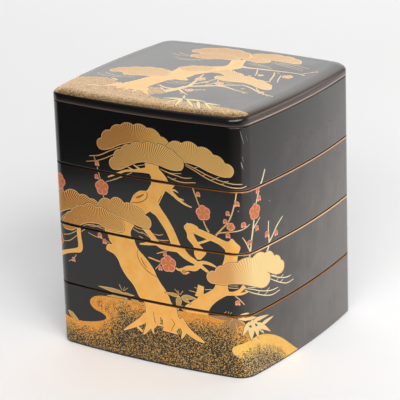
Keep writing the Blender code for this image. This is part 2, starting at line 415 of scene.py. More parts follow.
# The old pine. Loose needles hang out from under its banks
pine_needles = [
    stroke((-113, 221, 0.8), (-125, 217.6, 0.9), (-140, 211, 0.9), (-154, 204.2, 0.9), (-166, 201.6, 0.7)),
    stroke((-124, 215, 0.8), (-135, 208.4, 0.9), (-148, 201.8, 0.9), (-158, 198, 0.8), (-170, 195.4, 0.6)),
    stroke((-118, 222, 0.7), (-127, 219.3, 0.8), (-141, 212.6, 0.5)),
    stroke((-56.5, 209.8, 0.7), (-46, 206.3, 0.9), (-35, 202, 0.9), (-22, 198, 0.9), (-10, 196, 0.9),
           (1.5, 195, 0.7)),
    stroke((-56, 208, 0.7), (-46, 204, 0.9), (-38, 200, 0.9), (-28, 196.2, 0.9), (-14, 193, 0.9),
           (-1, 191.5, 0.9), (5.8, 192.6, 0.6)),
    stroke((-47, 206.8, 0.6), (-42.5, 208.6, 0.5)), stroke((-38.5, 200.3, 0.6), (-34.3, 202.2, 0.5)),
    stroke((-25, 199.2, 0.7), (-20, 201.6, 0.5)), stroke((-31, 196.8, 0.6), (-26, 198.2, 0.5)),
    stroke((-16, 197.2, 0.6), (-11.5, 198, 0.6)), stroke((-20.5, 194.2, 0.6), (-16, 195, 0.6)),
    stroke((-84, 201, 0.7), (-75, 198.3, 0.9), (-66, 196.8, 0.9), (-58, 195.5, 0.9), (-50, 196.6, 0.6)),
    stroke((-82, 200.4, 0.7), (-72, 198.3, 0.8), (-61, 199.6, 0.5)),
    stroke((-76, 194.5, 0.9), (-70, 192.9, 0.8), (-66.5, 194.2, 0.5)),
    stroke((-72, 192.6, 0.8), (-60, 191, 0.9), (-45.5, 192.5, 0.6)),
    stroke((-112, 199.6, 0.7), (-105, 201.6, 0.7), (-98, 203.6, 0.7)),
    stroke((-205, 114, 0.7), (-196, 116.3, 0.8), (-187.5, 121, 0.9)),
    stroke((-206, 107, 0.7), (-196, 109.8, 0.8), (-185, 118, 0.9)),
    stroke((-181, 121.5, 0.8), (-174, 126.5, 0.6)),
    stroke((-207, 131, 0.7), (-200, 136.5, 0.8), (-192, 141.2, 0.8)),
    stroke((-210, 128.6, 0.6), (-203, 132.6, 0.8), (-194, 140, 0.6)),
    stroke((-178, 128.6, 0.6), (-168, 131.3, 0.8), (-160, 130.4, 0.8), (-150, 129, 0.6)),
    stroke((-175, 130.6, 0.6), (-166, 129.8, 0.7), (-157, 131.8, 0.8), (-148, 130, 0.6)),
    stroke((-119, 139.4, 0.7), (-112, 137.3, 0.8), (-105, 136.7, 0.6)),
    stroke((-119, 136.4, 0.7), (-111, 133.6, 0.9), (-106, 133.2, 0.7)),
    stroke((-108, 134.4, 0.7), (-100, 130.6, 0.8), (-97, 128.4, 0.8)),
    stroke((-111, 129.8, 0.8), (-106.5, 128.2, 0.9)),
    stroke((-95, 134.6, 0.6), (-88, 134.2, 0.8), (-83.5, 135.6, 0.5)),
    stroke((-91, 129.2, 0.6), (-84, 129.5, 0.9), (-77.5, 130.6, 0.6)),
    stroke((-40, 86.6, 0.7), (-31, 88, 0.8)), stroke((-57, 83.2, 0.6), (-49, 82.3, 0.7)),
    stroke((-51, 87.2, 0.6), (-46, 86.6, 0.6)), stroke((-15, 92.2, 0.7), (-5, 92.6, 0.8)),
    stroke((-14, 94.4, 0.5), (-5, 95, 0.6)),
    stroke((-1, 93, 0.8), (10, 89, 0.9), (20, 84.6, 0.9), (30, 81, 0.9), (40, 78.6, 1), (50.5, 78, 0.8)),
    stroke((1, 90.4, 0.8), (12, 84.4, 1), (22, 79.8, 1), (31, 76.2, 1), (41, 73.8, 1), (53.5, 74.4, 0.8)),
    stroke((4, 92.6, 0.6), (16, 89, 0.7), (24, 85.6, 0.6)), stroke((17, 82.4, 0.7), (21, 84, 0.6)),
    stroke((31, 80.8, 0.7), (36.5, 82.4, 0.6)), stroke((28, 77.6, 0.7), (33.5, 79.4, 0.6)),
    stroke((37.5, 94.4, 0.8), (48, 89.4, 1), (58, 85.4, 1), (66, 83.4, 1), (73, 83, 0.8)),
    stroke((37.5, 91, 0.8), (48, 85, 1), (60, 79.3, 1), (68, 77.2, 1), (77.5, 77.4, 0.8)),
    stroke((40, 93.6, 0.6), (48, 91.2, 0.6)), stroke((47, 85.6, 0.7), (51.5, 87, 0.6)),
    stroke((55, 86.6, 0.7), (60, 88.2, 0.6)), stroke((54, 82, 0.7), (59, 83.4, 0.6)),
    stroke((-116, 192.6, 0.7), (-126, 187.6, 0.9), (-136, 183, 1), (-147.5, 178.3, 0.7)),
]
touch(wall_picture, pine_needles, "needle_gold")

# Its leaning trunk, with a broken stub, limbs and spreading roots
pine_limbs = [
    # the trunk over the second tray, with the broken stub on its left
    between([(-155, 145), (-151, 128), (-148.6, 126), (-146, 119), (-143.4, 115.6), (-148.5, 114.8),
             (-150.5, 109), (-142, 106), (-137, 101), (-134.3, 95), (-131.3, 90), (-126.5, 84), (-121, 79),
             (-117.5, 74), (-114.5, 68), (-111, 65), (-108.6, 63), (-107, 58), (-107, 52), (-108.5, 47.5),
             (-106, 41)],
            [(-112, 145), (-117, 138), (-120.2, 133), (-120.2, 128), (-117.2, 126), (-115, 120),
             (-112, 115.3), (-106, 110), (-100, 104), (-95.5, 98), (-92, 91), (-88, 85), (-83.5, 79.5),
             (-80, 74), (-77, 67), (-74, 64.5), (-71.7, 63), (-71, 58), (-69, 52), (-65, 47), (-68, 40)]),
    # the crown of the trunk and the knot on its bend
    between([(-101, 208), (-100, 199), (-97, 195.5), (-94.3, 191.5), (-94.3, 186), (-97, 181), (-100.3, 177),
             (-108, 175.6), (-115, 170.4), (-119.3, 163), (-124, 156), (-140, 145)],
            [(-86, 208), (-85, 201), (-80, 196), (-76, 190.5), (-76.4, 184), (-80, 178), (-84, 171),
             (-87.6, 164.4), (-92, 159), (-97, 156.7), (-103, 152), (-112, 140)]),
    between([(-100, 166), (-96.5, 156.7), (-91, 153.5), (-86, 147.5), (-80, 139), (-75.2, 128), (-74, 122),
             (-69.5, 120.3), (-60, 114.3), (-50, 110.5), (-44, 108), (-36, 103.5)],
            [(-87, 165), (-84, 160.5), (-78, 153), (-72, 143.5), (-67.5, 134), (-64.8, 128), (-61, 126),
             (-56, 120.3), (-50, 116.3), (-43.5, 112.5), (-38, 108.3), (-33, 104.8)]),
    between([(-110.5, 122.4), (-104, 124.2), (-96, 127.5), (-62, 127.5)],
            [(-110.5, 121), (-100, 122), (-92, 123.2), (-87, 121), (-80, 120), (-69, 120.2), (-62, 121)]),
    stroke((-107, 142, 6), (-99.5, 135, 6), (-91, 126, 6.4)),
    stroke((-46, 112, 4.4), (-40, 114, 3.4), (-33, 113.3, 2.8), (-25.5, 110.6, 1.2)),
    stroke((-46, 110, 6), (-50, 106.6, 5.6), (-57, 105.7, 4.8), (-63, 103.3, 3.6), (-68, 102.6, 2.2),
           (-71.5, 104.4, 1.4)),
    stroke((-65, 103, 3), (-61.4, 100.2, 3.4), (-56, 101.6, 1)),
    stroke((-78, 184, 6), (-72.5, 185, 4), (-68.5, 187.6, 0.8)),
    stroke((-74, 181.4, 2), (-69, 182, 1.8), (-65, 180, 0.8)),
    stroke((-78, 183, 6), (-71, 178, 4), (-64, 172.7, 2.8), (-57.5, 169.4, 2), (-50.8, 167.3, 1)),
    stroke((-67, 174.6, 2.4), (-59, 173.4, 1)),
    stroke((-96, 198, 7), (-104, 196.6, 4.4), (-114, 194.9, 2.6), (-123, 193.4, 2.2), (-131, 190, 2.2),
           (-144.5, 183.8, 1.2)),
    stroke((-106, 197, 2.4), (-110, 199, 1.8), (-114, 201, 1)),
    stroke((-113, 195, 2), (-119, 197, 1.3), (-123, 198.4, 0.7)),
    # the limb that hangs at the left
    stroke((-184.4, 130, 5.4), (-184, 116, 5), (-183, 107, 5.6), (-184.6, 102.2, 5.8), (-191, 100, 4.2),
           (-202, 96.6, 4), (-216, 90.5, 4.6), (-232, 84, 5), (-246, 80, 3), (-256, 78.5, 1)),
    # the roots
    stroke((-105, 48, 10), (-113, 41.5, 7), (-122, 35.6, 5), (-133.5, 28.3, 1.4)),
    stroke((-102, 46, 9), (-104, 38.5, 6.4), (-107.5, 32.4, 4), (-110.5, 28.4, 1.4)),
    stroke((-119, 36, 2.4), (-113, 32, 3), (-111, 30.6, 1)),
    stroke((-96, 48, 12), (-98.5, 40.5, 7), (-100, 36, 3.4), (-98, 31.2, 1)),
    between([(-89, 52), (-86.3, 46), (-86.6, 41), (-88.4, 36.6)],
            [(-68, 52), (-68, 44), (-72.5, 39), (-70.5, 35.2)]),
    stroke((-69, 51, 10), (-62.5, 43.5, 7.6), (-55, 38, 6), (-48, 34.5, 4.6), (-42, 31.8, 1.6)),
    stroke((-64.5, 44, 6), (-64.2, 38.5, 4.6), (-67, 32, 1.6)),
]
lay(wall_picture, pine_limbs, "bark_gold")

# Ground that shows between the roots, and the lines in the bark
touch(wall_picture, [
    stroke((-90.6, 50, 0.8), (-89, 46.5, 2.8), (-89.5, 42.5, 3.4)),
    stroke((-71, 40.5, 4), (-68.8, 39.4, 5.6), (-67, 38.6, 3)),
], "sprinkled_ground", root=rear_crest)
touch(wall_picture, [
    stroke((-99.6, 175.5, 0.8), (-100, 170.5, 0.9), (-104, 166.3, 0.9), (-111, 163.4, 0.9),
           (-118, 162.4, 0.7)),
    stroke((-112.6, 167.8, 0.8), (-108.5, 169.8, 2), (-103.4, 172.8, 0.9)),
    stroke((-83, 175, 0.5), (-85.4, 171, 1), (-87.4, 167.4, 0.5)),
    stroke((-98, 54, 0.5), (-97.2, 47, 0.8), (-96.2, 42.5, 0.6)),
    stroke((-78, 50.5, 0.4), (-74.4, 46.4, 0.7), (-77, 41, 0.6), (-78.4, 37.5, 0.4)),
    stroke((-113.4, 116, 0.4), (-113.8, 110, 0.7), (-111.5, 104, 0.7), (-107, 98.6, 0.8), (-100.5, 94, 0.8),
           (-92, 90.6, 0.5)),
    stroke((-109.6, 108.4, 0.6), (-107.4, 103, 1.2), (-103.4, 98.6, 0.6)),
    stroke((-60, 124.4, 0.8), (-54.5, 119, 0.9), (-47, 115.4, 0.6)),
], "bark_line")

# Banks of pine needles, the rear ones first
for bank_finish, root, tops, underside in (
    ("rear_bank_gold", (-112, 214),
     [(-150, 210.2, 0.5), (-150.5, 222, 0.23), (-139.5, 231.5, 0.18), (-127, 238.3, 0.17),
      (-112, 240.4, 0.17), (-97, 239.5, 0.18), (-82, 233, 0.15), (-73, 227.5, 0.1)],
     [(-76, 222), (-90, 222), (-104, 223.4), (-113, 222.6), (-122, 220.6), (-130, 217.6), (-138, 213.6),
      (-145, 211)]),
    ("needle_bank_gold", (-50, 205),
     [(-76, 218, 0.2), (-73.5, 227.6, 0.17), (-59.5, 229.5, 0.2), (-42.5, 227.8, 0.18), (-26.5, 222, 0.18),
      (-14.8, 215, 0.42), (-9.5, 202, 0.1)],
     [(-17, 201.3), (-25, 202.8), (-34, 205.4), (-45, 209.4), (-55, 210.8), (-66, 210)]),
    ("needle_bank_gold", (-98, 195),
     [(-135, 192.4, 0.5), (-137, 205, 0.2), (-128, 214.3, 0.17), (-117, 220.2, 0.16), (-103, 223, 0.15),
      (-88, 224.3, 0.15), (-75, 222.5, 0.14), (-64.5, 216.5, 0.33), (-61, 202.4, 0.08)],
     [(-68, 201.3), (-76, 202), (-86, 204.3), (-97, 205.2), (-105, 204.6), (-113, 201.8), (-121, 197.6),
      (-129, 193.6)]),
    ("needle_bank_gold", (-205, 133),
     [(-250, 136, 0.42), (-240, 148, 0.17), (-219, 153.5, 0.2), (-200, 159, 0.22), (-181, 159.8, 0.15),
      (-168.5, 158, 0.15), (-157, 154, 0.1)],
     [(-160, 147), (-175, 144), (-188, 143.2), (-196, 141.6), (-204, 138.2), (-213, 133.8), (-224, 131)]),
    ("needle_bank_gold", (-122, 136),
     [(-160, 150, 0.2), (-157.6, 155.6, 0.22), (-143, 160.8, 0.27), (-127, 160.5, 0.15), (-115, 159.2, 0.13),
      (-102.4, 151.8, 0.33), (-99, 138.8, 0.1)],
     [(-105, 138.6), (-113, 139.8), (-121, 142), (-134, 144.4), (-150, 146)]),
    ("needle_bank_gold", (-160, 124),
     [(-199, 120.3, 0.42), (-202.5, 132, 0.15), (-193, 140.5, 0.15), (-186.5, 146.3, 0.14),
      (-176.5, 149, 0.22), (-161, 150.4, 0.16), (-146.5, 147.6, 0.15), (-134, 143.2, 0.36),
      (-130.5, 130, 0.1)],
     [(-140, 129.4), (-149, 130.4), (-158, 133.4), (-166, 133), (-173, 131.8), (-180, 128.8), (-185, 125.6),
      (-189, 122.4), (-193.5, 120.4)]),
    ("corner_bank_gold", (8, 88),
     [(-30, 94, 0.42), (-34.5, 105.6, 0.1), (-28.5, 107, 0.2), (-19.5, 113.6, 0.13), (-5.5, 118, 0.2),
      (10.5, 120.5, 0.16), (30, 119.4, 0.2), (45, 112, 0.18), (56.2, 104.4, 0.38), (57, 90.9, 0.1)],
     [(50, 91.4), (42, 94.6), (33, 99.4), (37, 96.3), (38, 92), (35.6, 87.4), (29.5, 85.2), (22, 86.6),
      (14, 90.2), (5, 94.2), (-2, 96.4), (-10, 96.4), (-18, 94.6), (-24, 94)]),
):
    lay(wall_picture, [scalloped(tops, underside)], bank_finish, root=root)

touch(wall_picture, [near_ground], "near_ground", root=near_crest)

# Bamboo at the pine's foot
lay(wall_picture, [
    leaf(-132, 67, -163, 68.6, 4.4), leaf(-122, 66.6, -150, 66.4, 2.6), leaf(-134, 66.6, -119, 66.6, 3),
    leaf(-126, 64, -153, 60.6, 3.8), leaf(-124, 63.5, -109, 58.5, 3.6), leaf(-128, 64, -133, 54, 3),
    leaf(-68, 75.4, -84, 76.8, 3.8), leaf(-65, 75.8, -49, 76, 4.8), leaf(-68, 75.4, -70, 60.5, 6.4),
    leaf(-66, 75, -55.5, 69.6, 4.2), leaf(-66, 66, -62, 60, 3.4), leaf(-204, 34, -190, 25.6, 5),
    leaf(-210, 34, -226, 38, 5), leaf(-214, 33, -236, 18, 5),
], "bamboo_gold", edge_width=0.4)
touch(wall_picture, [
    stroke((-137, 75.4, 0.8), (-134, 69.5, 0.9)), stroke((-130.4, 74, 0.6), (-132.8, 69.5, 0.7)),
    stroke((-126.6, 73.6, 0.6), (-131.6, 69.6, 0.7)), stroke((-72.6, 82, 0.9), (-68.4, 77, 0.9)),
    stroke((-69.4, 81, 0.9), (-68, 77, 0.9)), stroke((-63.6, 81.6, 0.8), (-67, 77, 0.9)),
    stroke((-20, 66, 0.7), (-17.5, 67.6, 0.8)), stroke((-16, 66, 0.7), (-15, 68, 0.7)),
    stroke((-12, 67.6, 0.7), (-14, 66, 0.7)),
], "bamboo_gold")
touch(wall_picture, [
    leaf(-12, 60.5, -37, 60.6, 4.2), leaf(-13, 60, -27, 49.5, 2.8), leaf(-12, 59.5, -15, 43, 2.6),
    leaf(-11, 60, -8, 43, 3.2), leaf(-11, 60.6, 0.5, 54, 4.4),
], "dull_bamboo_gold")
lay(wall_picture, [
    leaf(6, 60.6, -7, 61.6, 3.6), leaf(-2, 62.6, 15, 59.2, 4.4), leaf(5, 66.2, -4, 66, 2.2),
    leaf(9, 57.4, 34, 55.4, 4), leaf(20, 49, 42, 51.6, 4), leaf(15, 53.5, 36.5, 37.4, 5),
    leaf(8, 58.5, 7, 38, 9), leaf(12, 57, 17, 37, 7), leaf(12, 55, 26, 38.5, 4.4), leaf(5, 57.6, -2, 44, 5),
], "pale_gold", edge="pale_gold", edge_width=0.4)
touch(wall_picture, [
    stroke((4.6, 52.4, 1.2), (6.4, 53, 2), (6.6, 51, 1)),
    stroke((12, 53.6, 1), (14, 51.4, 2.2), (15.6, 50.4, 0.8)), stroke((20, 45.6, 0.5), (23, 42.4, 1)),
], "black_lacquer")

# Plum blossoms and buds, in gold mixed with vermilion. A bud shows two pale petals at its foot
BLOSSOM_EDGE_WIDTH = 0.9
BLOSSOM_CENTRE_RADIUS = 1.9
blossoms = [
    (-152.5, 172, 8.2, 95), (-39, 163.6, 7.9, 100), (-78.8, 106.6, 8.8, 95), (16, 165, 8.2, 88),
    (-207, 169, 8.6, 70), (-214, 108, 8.2, 60), (-10.8, 153.4, 4.4, 60),
]
lay(wall_picture, [blossom(*b) for b in blossoms], "blossom_gold", edge="blossom_edge_gold",
    edge_width=BLOSSOM_EDGE_WIDTH)
touch(wall_picture, petal_lines(blossoms), "blossom_edge_gold")
touch(wall_picture, [disc(x, y, BLOSSOM_CENTRE_RADIUS) for x, y, _, _ in blossoms], "blossom_centre_gold")
buds = [
    (-157, 196, 2.8), (-158.4, 182.2, 2.6), (-43.9, 181.6, 2.5), (-4.1, 176.4, 2.6), (-13.4, 166.6, 2.4),
    (-16.2, 158.4, 2.5), (1.6, 155.4, 2.8), (-13.8, 144.8, 2.7), (20.8, 184.8, 3), (23, 176.4, 2.8),
    (18.6, 148.2, 2.8), (7.4, 136.8, 2.8), (33.6, 137.6, 3.2), (49, 134.2, 3), (-158, 122.4, 2.8),
    (-152.4, 117, 2.7), (-82.2, 116.4, 2.3), (-88, 101, 2.4), (-61.6, 101, 2), (-6, 78, 2.6),
    (-193, 90.5, 2.4),
]
bud_middles = [disc(x, y, radius * 0.9) for x, y, radius in buds]
bud_petals = [disc(x + radius * way, y - radius * 0.7, radius * 0.42)
              for x, y, radius in buds for way in (-0.5, 0.6)]
lay(wall_picture, bud_middles, "blossom_gold", edge="blossom_edge_gold", edge_width=0.5)
touch(wall_picture, bud_petals, "blossom_edge_gold")

# Scratches and specks where the corner has been knocked
touch(wall_picture, [
    stroke((0.6, 247, 0.2), (2, 241, 0.35), (4, 234, 0.2)),
    stroke((0.8, 216.5, 0.4), (1.6, 213, 0.7), (2.6, 209.5, 0.3)), stroke((2, 222, 0.2), (3, 217, 0.25)),
    stroke((6.5, 243, 0.15), (8, 236, 0.2)), disc(39, 169, 0.7), disc(-3, 169, 0.6), disc(57, 92, 0.5),
    stroke((-13, 25, 0.3), (-10, 24.3, 0.8), (-6, 24.5, 0.3)),
], "bare_scratch")


# Lacquer and gold
# Gold dust of several grains and alloys is sprinkled into wet lacquer and burnished, so it has a soft metal
# sheen and no polish of its own. Bare lacquer is rubbed to a gloss, handling has dulled it in places, and
# some sheen and highlights on it are painted into its colour.
LACQUER_COLOUR = "#050404"
LACQUER_IOR = 1.48
LACQUER_ROUGHNESS = 0.15
finishes = {}


def finish(name, colour, roughness, metallic=1.0):
    """A new finish of that name, with its shader."""
    material = bpy.data.materials.new(name)
    material.use_nodes = True
    shader = material.node_tree.nodes["Principled BSDF"]
    shader.inputs["Base Color"].default_value = linear(colour)
    shader.inputs["Roughness"].default_value = roughness
    shader.inputs["Metallic"].default_value = metallic
    finishes[name] = material
    return material, shader


def bare_lacquer(name, roughness):
    """A new finish of bare black lacquer, with its shader."""
    material, shader = finish(name, LACQUER_COLOUR, roughness, metallic=0.0)
    shader.inputs["IOR"].default_value = LACQUER_IOR
    return material, shader


def add_node(material, kind, inputs=(), **settings):
    """Add a node with its settings, link its inputs or set them to values, and give back its outputs."""
    made = material.node_tree.nodes.new("ShaderNode" + kind)
    for name, value in settings.items():
        setattr(made, name, value)
    for socket, value in inputs.items() if isinstance(inputs, dict) else enumerate(inputs):
        if isinstance(value, bpy.types.NodeSocket):
            material.node_tree.links.new(value, made.inputs[socket])
        else:
            made.inputs[socket].default_value = value
    return made.outputs


def share_of(material, *spans):
    """How far each value has come from its start to its end, multiplied together.

    A span is a value, its start and its end, and may name other results than 0 and 1 for them.
    """
    share = 1.0
    for span in spans:
        reached = add_node(material, "MapRange", span)[0]
        share = add_node(material, "Math", [share, reached], operation="MULTIPLY")[0]
    return share


def laid_over(material, base, *layers):
    """A base colour with others laid over it in turn, each by its share."""
    for share, colour in layers:
        below, above = (linear(shade) if isinstance(shade, str) else shade for shade in (base, colour))
        base = add_node(material, "Mix", {0: share, 6: below, 7: above}, data_type="RGBA")[2]
    return base


# Lacquer: the right-hand side is dulled in fine upright streaks and carries a painted sheen, standing in for
# reflected light, most towards its foot and the back
RIGHT_FACE_FROM, RIGHT_FACE_TO = 0.094, 0.108
STREAK_STRETCH = (260.0, 260.0, 18.0)
lacquer, shader = bare_lacquer("black_lacquer", LACQUER_ROUGHNESS)
place = add_node(lacquer, "TexCoord")["Object"]
axes = add_node(lacquer, "SeparateXYZ", [place])
stretched = add_node(lacquer, "VectorMath", [place, STREAK_STRETCH], operation="MULTIPLY")[0]
streaks = add_node(lacquer, "TexNoise", {"Vector": stretched, "Scale": 1.0, "Detail": 3.0})["Fac"]
clouds = add_node(lacquer, "TexNoise", {"Vector": place, "Scale": 26.0, "Detail": 4.0})["Fac"]
on_the_right = (axes["X"], RIGHT_FACE_FROM, RIGHT_FACE_TO)
towards_foot = (axes["Z"], 0.26, 0.08, 0.25, 1.0)
towards_back = (axes["Y"], -0.11, 0.10, 0.32, 1.3)
dulling_and_sheen = share_of(lacquer, on_the_right, towards_foot, towards_back,
                  (streaks, 0.3, 0.7, 0.94, 1.06), (clouds, 0.3, 0.7, 0.75, 1.25))
lacquer.node_tree.links.new(laid_over(lacquer, LACQUER_COLOUR, (dulling_and_sheen, "#5C5652")),
                            shader.inputs["Base Color"])

# The lower edges of the upper trays are rubbed on the right and carry a painted highlight there
scuffed_lit_edge, shader = bare_lacquer("edge_wear_and_highlight", LACQUER_ROUGHNESS)
axes = add_node(scuffed_lit_edge, "SeparateXYZ", [add_node(scuffed_lit_edge, "TexCoord")["Object"]])
edge_highlight_share = share_of(scuffed_lit_edge, (axes["X"], RIGHT_FACE_FROM, RIGHT_FACE_TO))
scuffed_lit_edge.node_tree.links.new(laid_over(scuffed_lit_edge, LACQUER_COLOUR, (edge_highlight_share, "#6A5A4C")),
                           shader.inputs["Base Color"])
finish("bare_scratch", "#8E8A88", 0.6, metallic=0.0)

# Plain golds
for name, colour, roughness in (
    ("pale_gold", "#FADCA2", 0.5), ("edge_gold", "#FFD08A", 0.45), ("bark_line", "#A8662A", 0.55),
    ("bamboo_gold", "#C9A56A", 0.55), ("dull_bamboo_gold", "#AC8C66", 0.55),
    ("blossom_gold", "#DC8459", 0.55), ("blossom_edge_gold", "#F4B096", 0.5),
    ("blossom_centre_gold", "#D09048", 0.55),
):
    finish(name, colour, roughness)

# Banks of needles: fine strokes fan out from the foot of each bank. Along one direction the gold goes from
# thin and dark to dense and pale, partly a gradation of the dust and partly painted shade and light
STROKES_ROUND = 155.0
STROKE_WAVER = 2.0
ALONG_THE_FRONT = (1.0, 1.0, 0.0)


def needle_bank(name, thin_and_shaded, dense_and_lit, contrast, across, shaded_end, lit_end):
    """The finish of a bank of needles: its thin, shaded and dense, lit colours, and where each is along a
    direction.
    """
    bank, shader = finish(name, dense_and_lit, 0.45)
    drawn = add_node(bank, "UVMap", uv_map="design")["UV"]
    place = add_node(bank, "TexCoord")["Object"]
    along = add_node(bank, "VectorMath", [place, across], operation="DOT_PRODUCT")["Value"]
    noise = add_node(bank, "TexNoise", {"Vector": drawn, "Scale": 0.3, "Detail": 1.0})["Fac"]
    waver = add_node(bank, "Math", [noise, STROKE_WAVER], operation="MULTIPLY")[0]
    fan = add_node(bank, "SeparateXYZ", [drawn])
    angle = add_node(bank, "Math", [fan["X"], fan["Y"]], operation="ARCTAN2")[0]
    turned = add_node(bank, "Math", [angle, STROKES_ROUND, waver], operation="MULTIPLY_ADD")[0]
    strokes = add_node(bank, "Math", [turned], operation="SINE")[0]
    thickness_and_light = share_of(bank, (along, shaded_end, lit_end))
    density = add_node(bank, "Math", [strokes, contrast, thickness_and_light], operation="MULTIPLY_ADD")[0]
    shown = add_node(bank, "Mix", {0: density, 6: linear(thin_and_shaded), 7: linear(dense_and_lit)}, data_type="RGBA",
                     clamp_factor=False, clamp_result=True)[2]
    bank.node_tree.links.new(shown, shader.inputs["Base Color"])


needle_bank("needle_bank_gold", "#C78D4B", "#FFBB70", 1.2, ALONG_THE_FRONT, -0.205, -0.08)
needle_bank("rear_bank_gold", "#D39553", "#FFBF6A", 1.1, ALONG_THE_FRONT, -0.125, -0.088)
# The bank round the near corner is a paler copy: painted light where the light from the right falls
needle_bank("corner_bank_gold", "#EAAE6C", "#FFDE9E", 0.5, ALONG_THE_FRONT, -0.017, 0.018)

# Needles and twigs: those round the corner are painted paler, as a painted highlight where light from the
# right falls
NEEDLE_COLOUR = "#E8B878"
needles, shader = finish("needle_gold", NEEDLE_COLOUR, 0.5)
axes = add_node(needles, "SeparateXYZ", [add_node(needles, "TexCoord")["Object"]])
across = add_node(needles, "Math", [axes["X"], axes["Y"]], operation="ADD")[0]
paler = laid_over(needles, NEEDLE_COLOUR, (share_of(needles, (across, -0.02, 0.025)), "#F6E6C2"))
needles.node_tree.links.new(paler, shader.inputs["Base Color"])

# Bark: laid more thickly in some places than in others
bark, shader = finish("bark_gold", "#F5B766", 0.5)
place = add_node(bark, "TexCoord")["Object"]
patches = add_node(bark, "TexNoise", {"Vector": place, "Scale": 90.0, "Detail": 4.0})["Fac"]
patched = laid_over(bark, "#FFBC60", (share_of(bark, (patches, 0.35, 0.65)), "#FFCA76"))
bark.node_tree.links.new(patched, shader.inputs["Base Color"])

# Ground: coarse dust, close under the crest and scattered over bare lacquer further down
DRIFT = 4.0


def sprinkled(name, grains_per_metre, bare_share, span, under, upper, lower):
    """The finish of a dusted bank: the most that is bare, the depths it thins out over, and its colours."""
    ground, shader = finish(name, upper[1], 0.5)
    shader.inputs["IOR"].default_value = LACQUER_IOR
    place = add_node(ground, "TexCoord")["Object"]
    depth = add_node(ground, "SeparateXYZ", [add_node(ground, "UVMap", uv_map="design")["UV"]])["Y"]
    drifts = add_node(ground, "TexNoise", {"Vector": place, "Scale": 45.0, "Detail": 2.0})["Fac"]
    grains = add_node(ground, "TexVoronoi", {"Vector": place, "Scale": grains_per_metre})["Color"]
    grain = add_node(ground, "SeparateColor", [grains])
    drifted = share_of(ground, (drifts, 0.3, 0.7, -DRIFT, DRIFT))
    deeper = add_node(ground, "Math", [depth, drifted], operation="ADD")[0]
    start, end, least = span
    deepened = share_of(ground, (deeper, start, end, least, 1.0))
    thinned = add_node(ground, "Math", [deepened, 0.8], operation="POWER")[0]
    bare = add_node(ground, "Math", [thinned, bare_share], operation="MULTIPLY")[0]
    dusted = add_node(ground, "Math", [grain["Red"], bare], operation="GREATER_THAN")[0]
    upper_dust = laid_over(ground, upper[0], (grain["Green"], upper[1]))
    lower_dust = laid_over(ground, lower[0], (grain["Green"], lower[1]))
    dust = laid_over(ground, upper_dust, (deepened, lower_dust))
    ground.node_tree.links.new(laid_over(ground, under, (dusted, dust)), shader.inputs["Base Color"])
    ground.node_tree.links.new(dusted, shader.inputs["Metallic"])


sprinkled("sprinkled_ground", 1400.0, 0.64, (4.0, 20.0, 0.0), "#120E0A", ("#D48E40", "#FCB85E"),
          ("#8C6830", "#E8C074"))
# The near bank, round the corner, is dusted more densely and painted paler, partly as painted light from the
# right
sprinkled("near_ground", 1400.0, 0.55, (8.0, 20.0, 0.0), "#1A1612", ("#F6BA5A", "#FFDA80"),
          ("#A4824C", "#F4D89C"))

# Rims: the gold line darkens to brown towards the left and is painted paler at the right as a painted
# highlight, on each tray to its own degree, and where it turns in over the rounding of the rim it carries
# painted shade on the right
for name, right_painted_light in (
    ("rim_shade", "#4A2C12"), ("dull_rim_gold", "#A8703C"), ("bright_rim_gold", "#F2C699"),
    ("rim_gold", "#DCAD8C"),
):
    rim, shader = finish(name, "#A0622E", 0.5)
    axes = add_node(rim, "SeparateXYZ", [add_node(rim, "TexCoord")["Object"]])
    across = add_node(rim, "Math", [axes["X"], axes["Y"]], operation="ADD")[0]
    shown = laid_over(rim, "#2E1C12", (share_of(rim, (across, -0.2, 0.02)), "#A0622E"),
                      (share_of(rim, (across, -0.01, 0.025)), right_painted_light))
    rim.node_tree.links.new(shown, shader.inputs["Base Color"])


# The four trays
# Each is a wooden floor in a ring of bowed walls, all in one skin of lacquer, open at the top. The upper
# three stand on an inset foot in the mouth of the tray below. The picture is drawn on the flattened wall
# and cut into its skin. Everything that it doesn't reach is plain black.
LOWER_EDGE_RADIUS = 1.4
RIM_EDGE_RADIUS = 0.9
RIM_INNER_CHAMFER = 0.5
WALL_THICKNESS = 5.0
FLOOR_THICKNESS = 5.0
FLOOR_FILLET = 3.0
FOOT_CLEARANCE = 0.5
FOOT_CHAMFER = 0.6
FOOT_DEPTH = 3.0
BASE_RECESS_DEPTH = 1.5
BASE_RING_WIDTH = 6.0
ROUND_STEPS = 6
PICTURE_LOW_EDGE = 2.0
RIM_LINE_WIDTH = 0.2
RIGHT_RIM_LINE_WIDTH = 0.8
GROUND_POINT_SPACING = 5.0
GROUND_REACH = (-250, 90)
GROUND_HEIGHTS = (2.7, 63)
SHARP_EDGE = math.radians(35)
FAN_SHAPE = (0.45, 1.0)
# How the skin is laid out flat, as shares of the unit square: a strip for each quarter of the wall, and
# shrunken plans for what is inside and underneath
STRIP_SCALE = 0.0033
STRIP_PITCH = 0.245
STRIP_MARGIN = 0.012
LID_STRIP_PITCH = 0.03
LID_TOP_SCALE = 0.003
LID_TOP_MARGIN = 0.15
PLAN_SCALE = 0.0011
PLAN_SHRINK = 0.009
PLAN_MIDDLES = {"inside": (0.855, 0.25), "underneath": (0.855, 0.75)}
skin_sides = ["wall", "inside", "underneath", "top"]


def depth_under(crest, places):
    """How far below or beside the crest line each place lies."""
    starts, ways = crest[:-1], crest[1:] - crest[:-1]
    offsets = places[:, None] - starts
    shares = np.clip((offsets * ways).sum(axis=2) / (ways ** 2).sum(axis=1), 0, 1)
    return np.linalg.norm(offsets - shares[..., None] * ways, axis=2).min(axis=1)


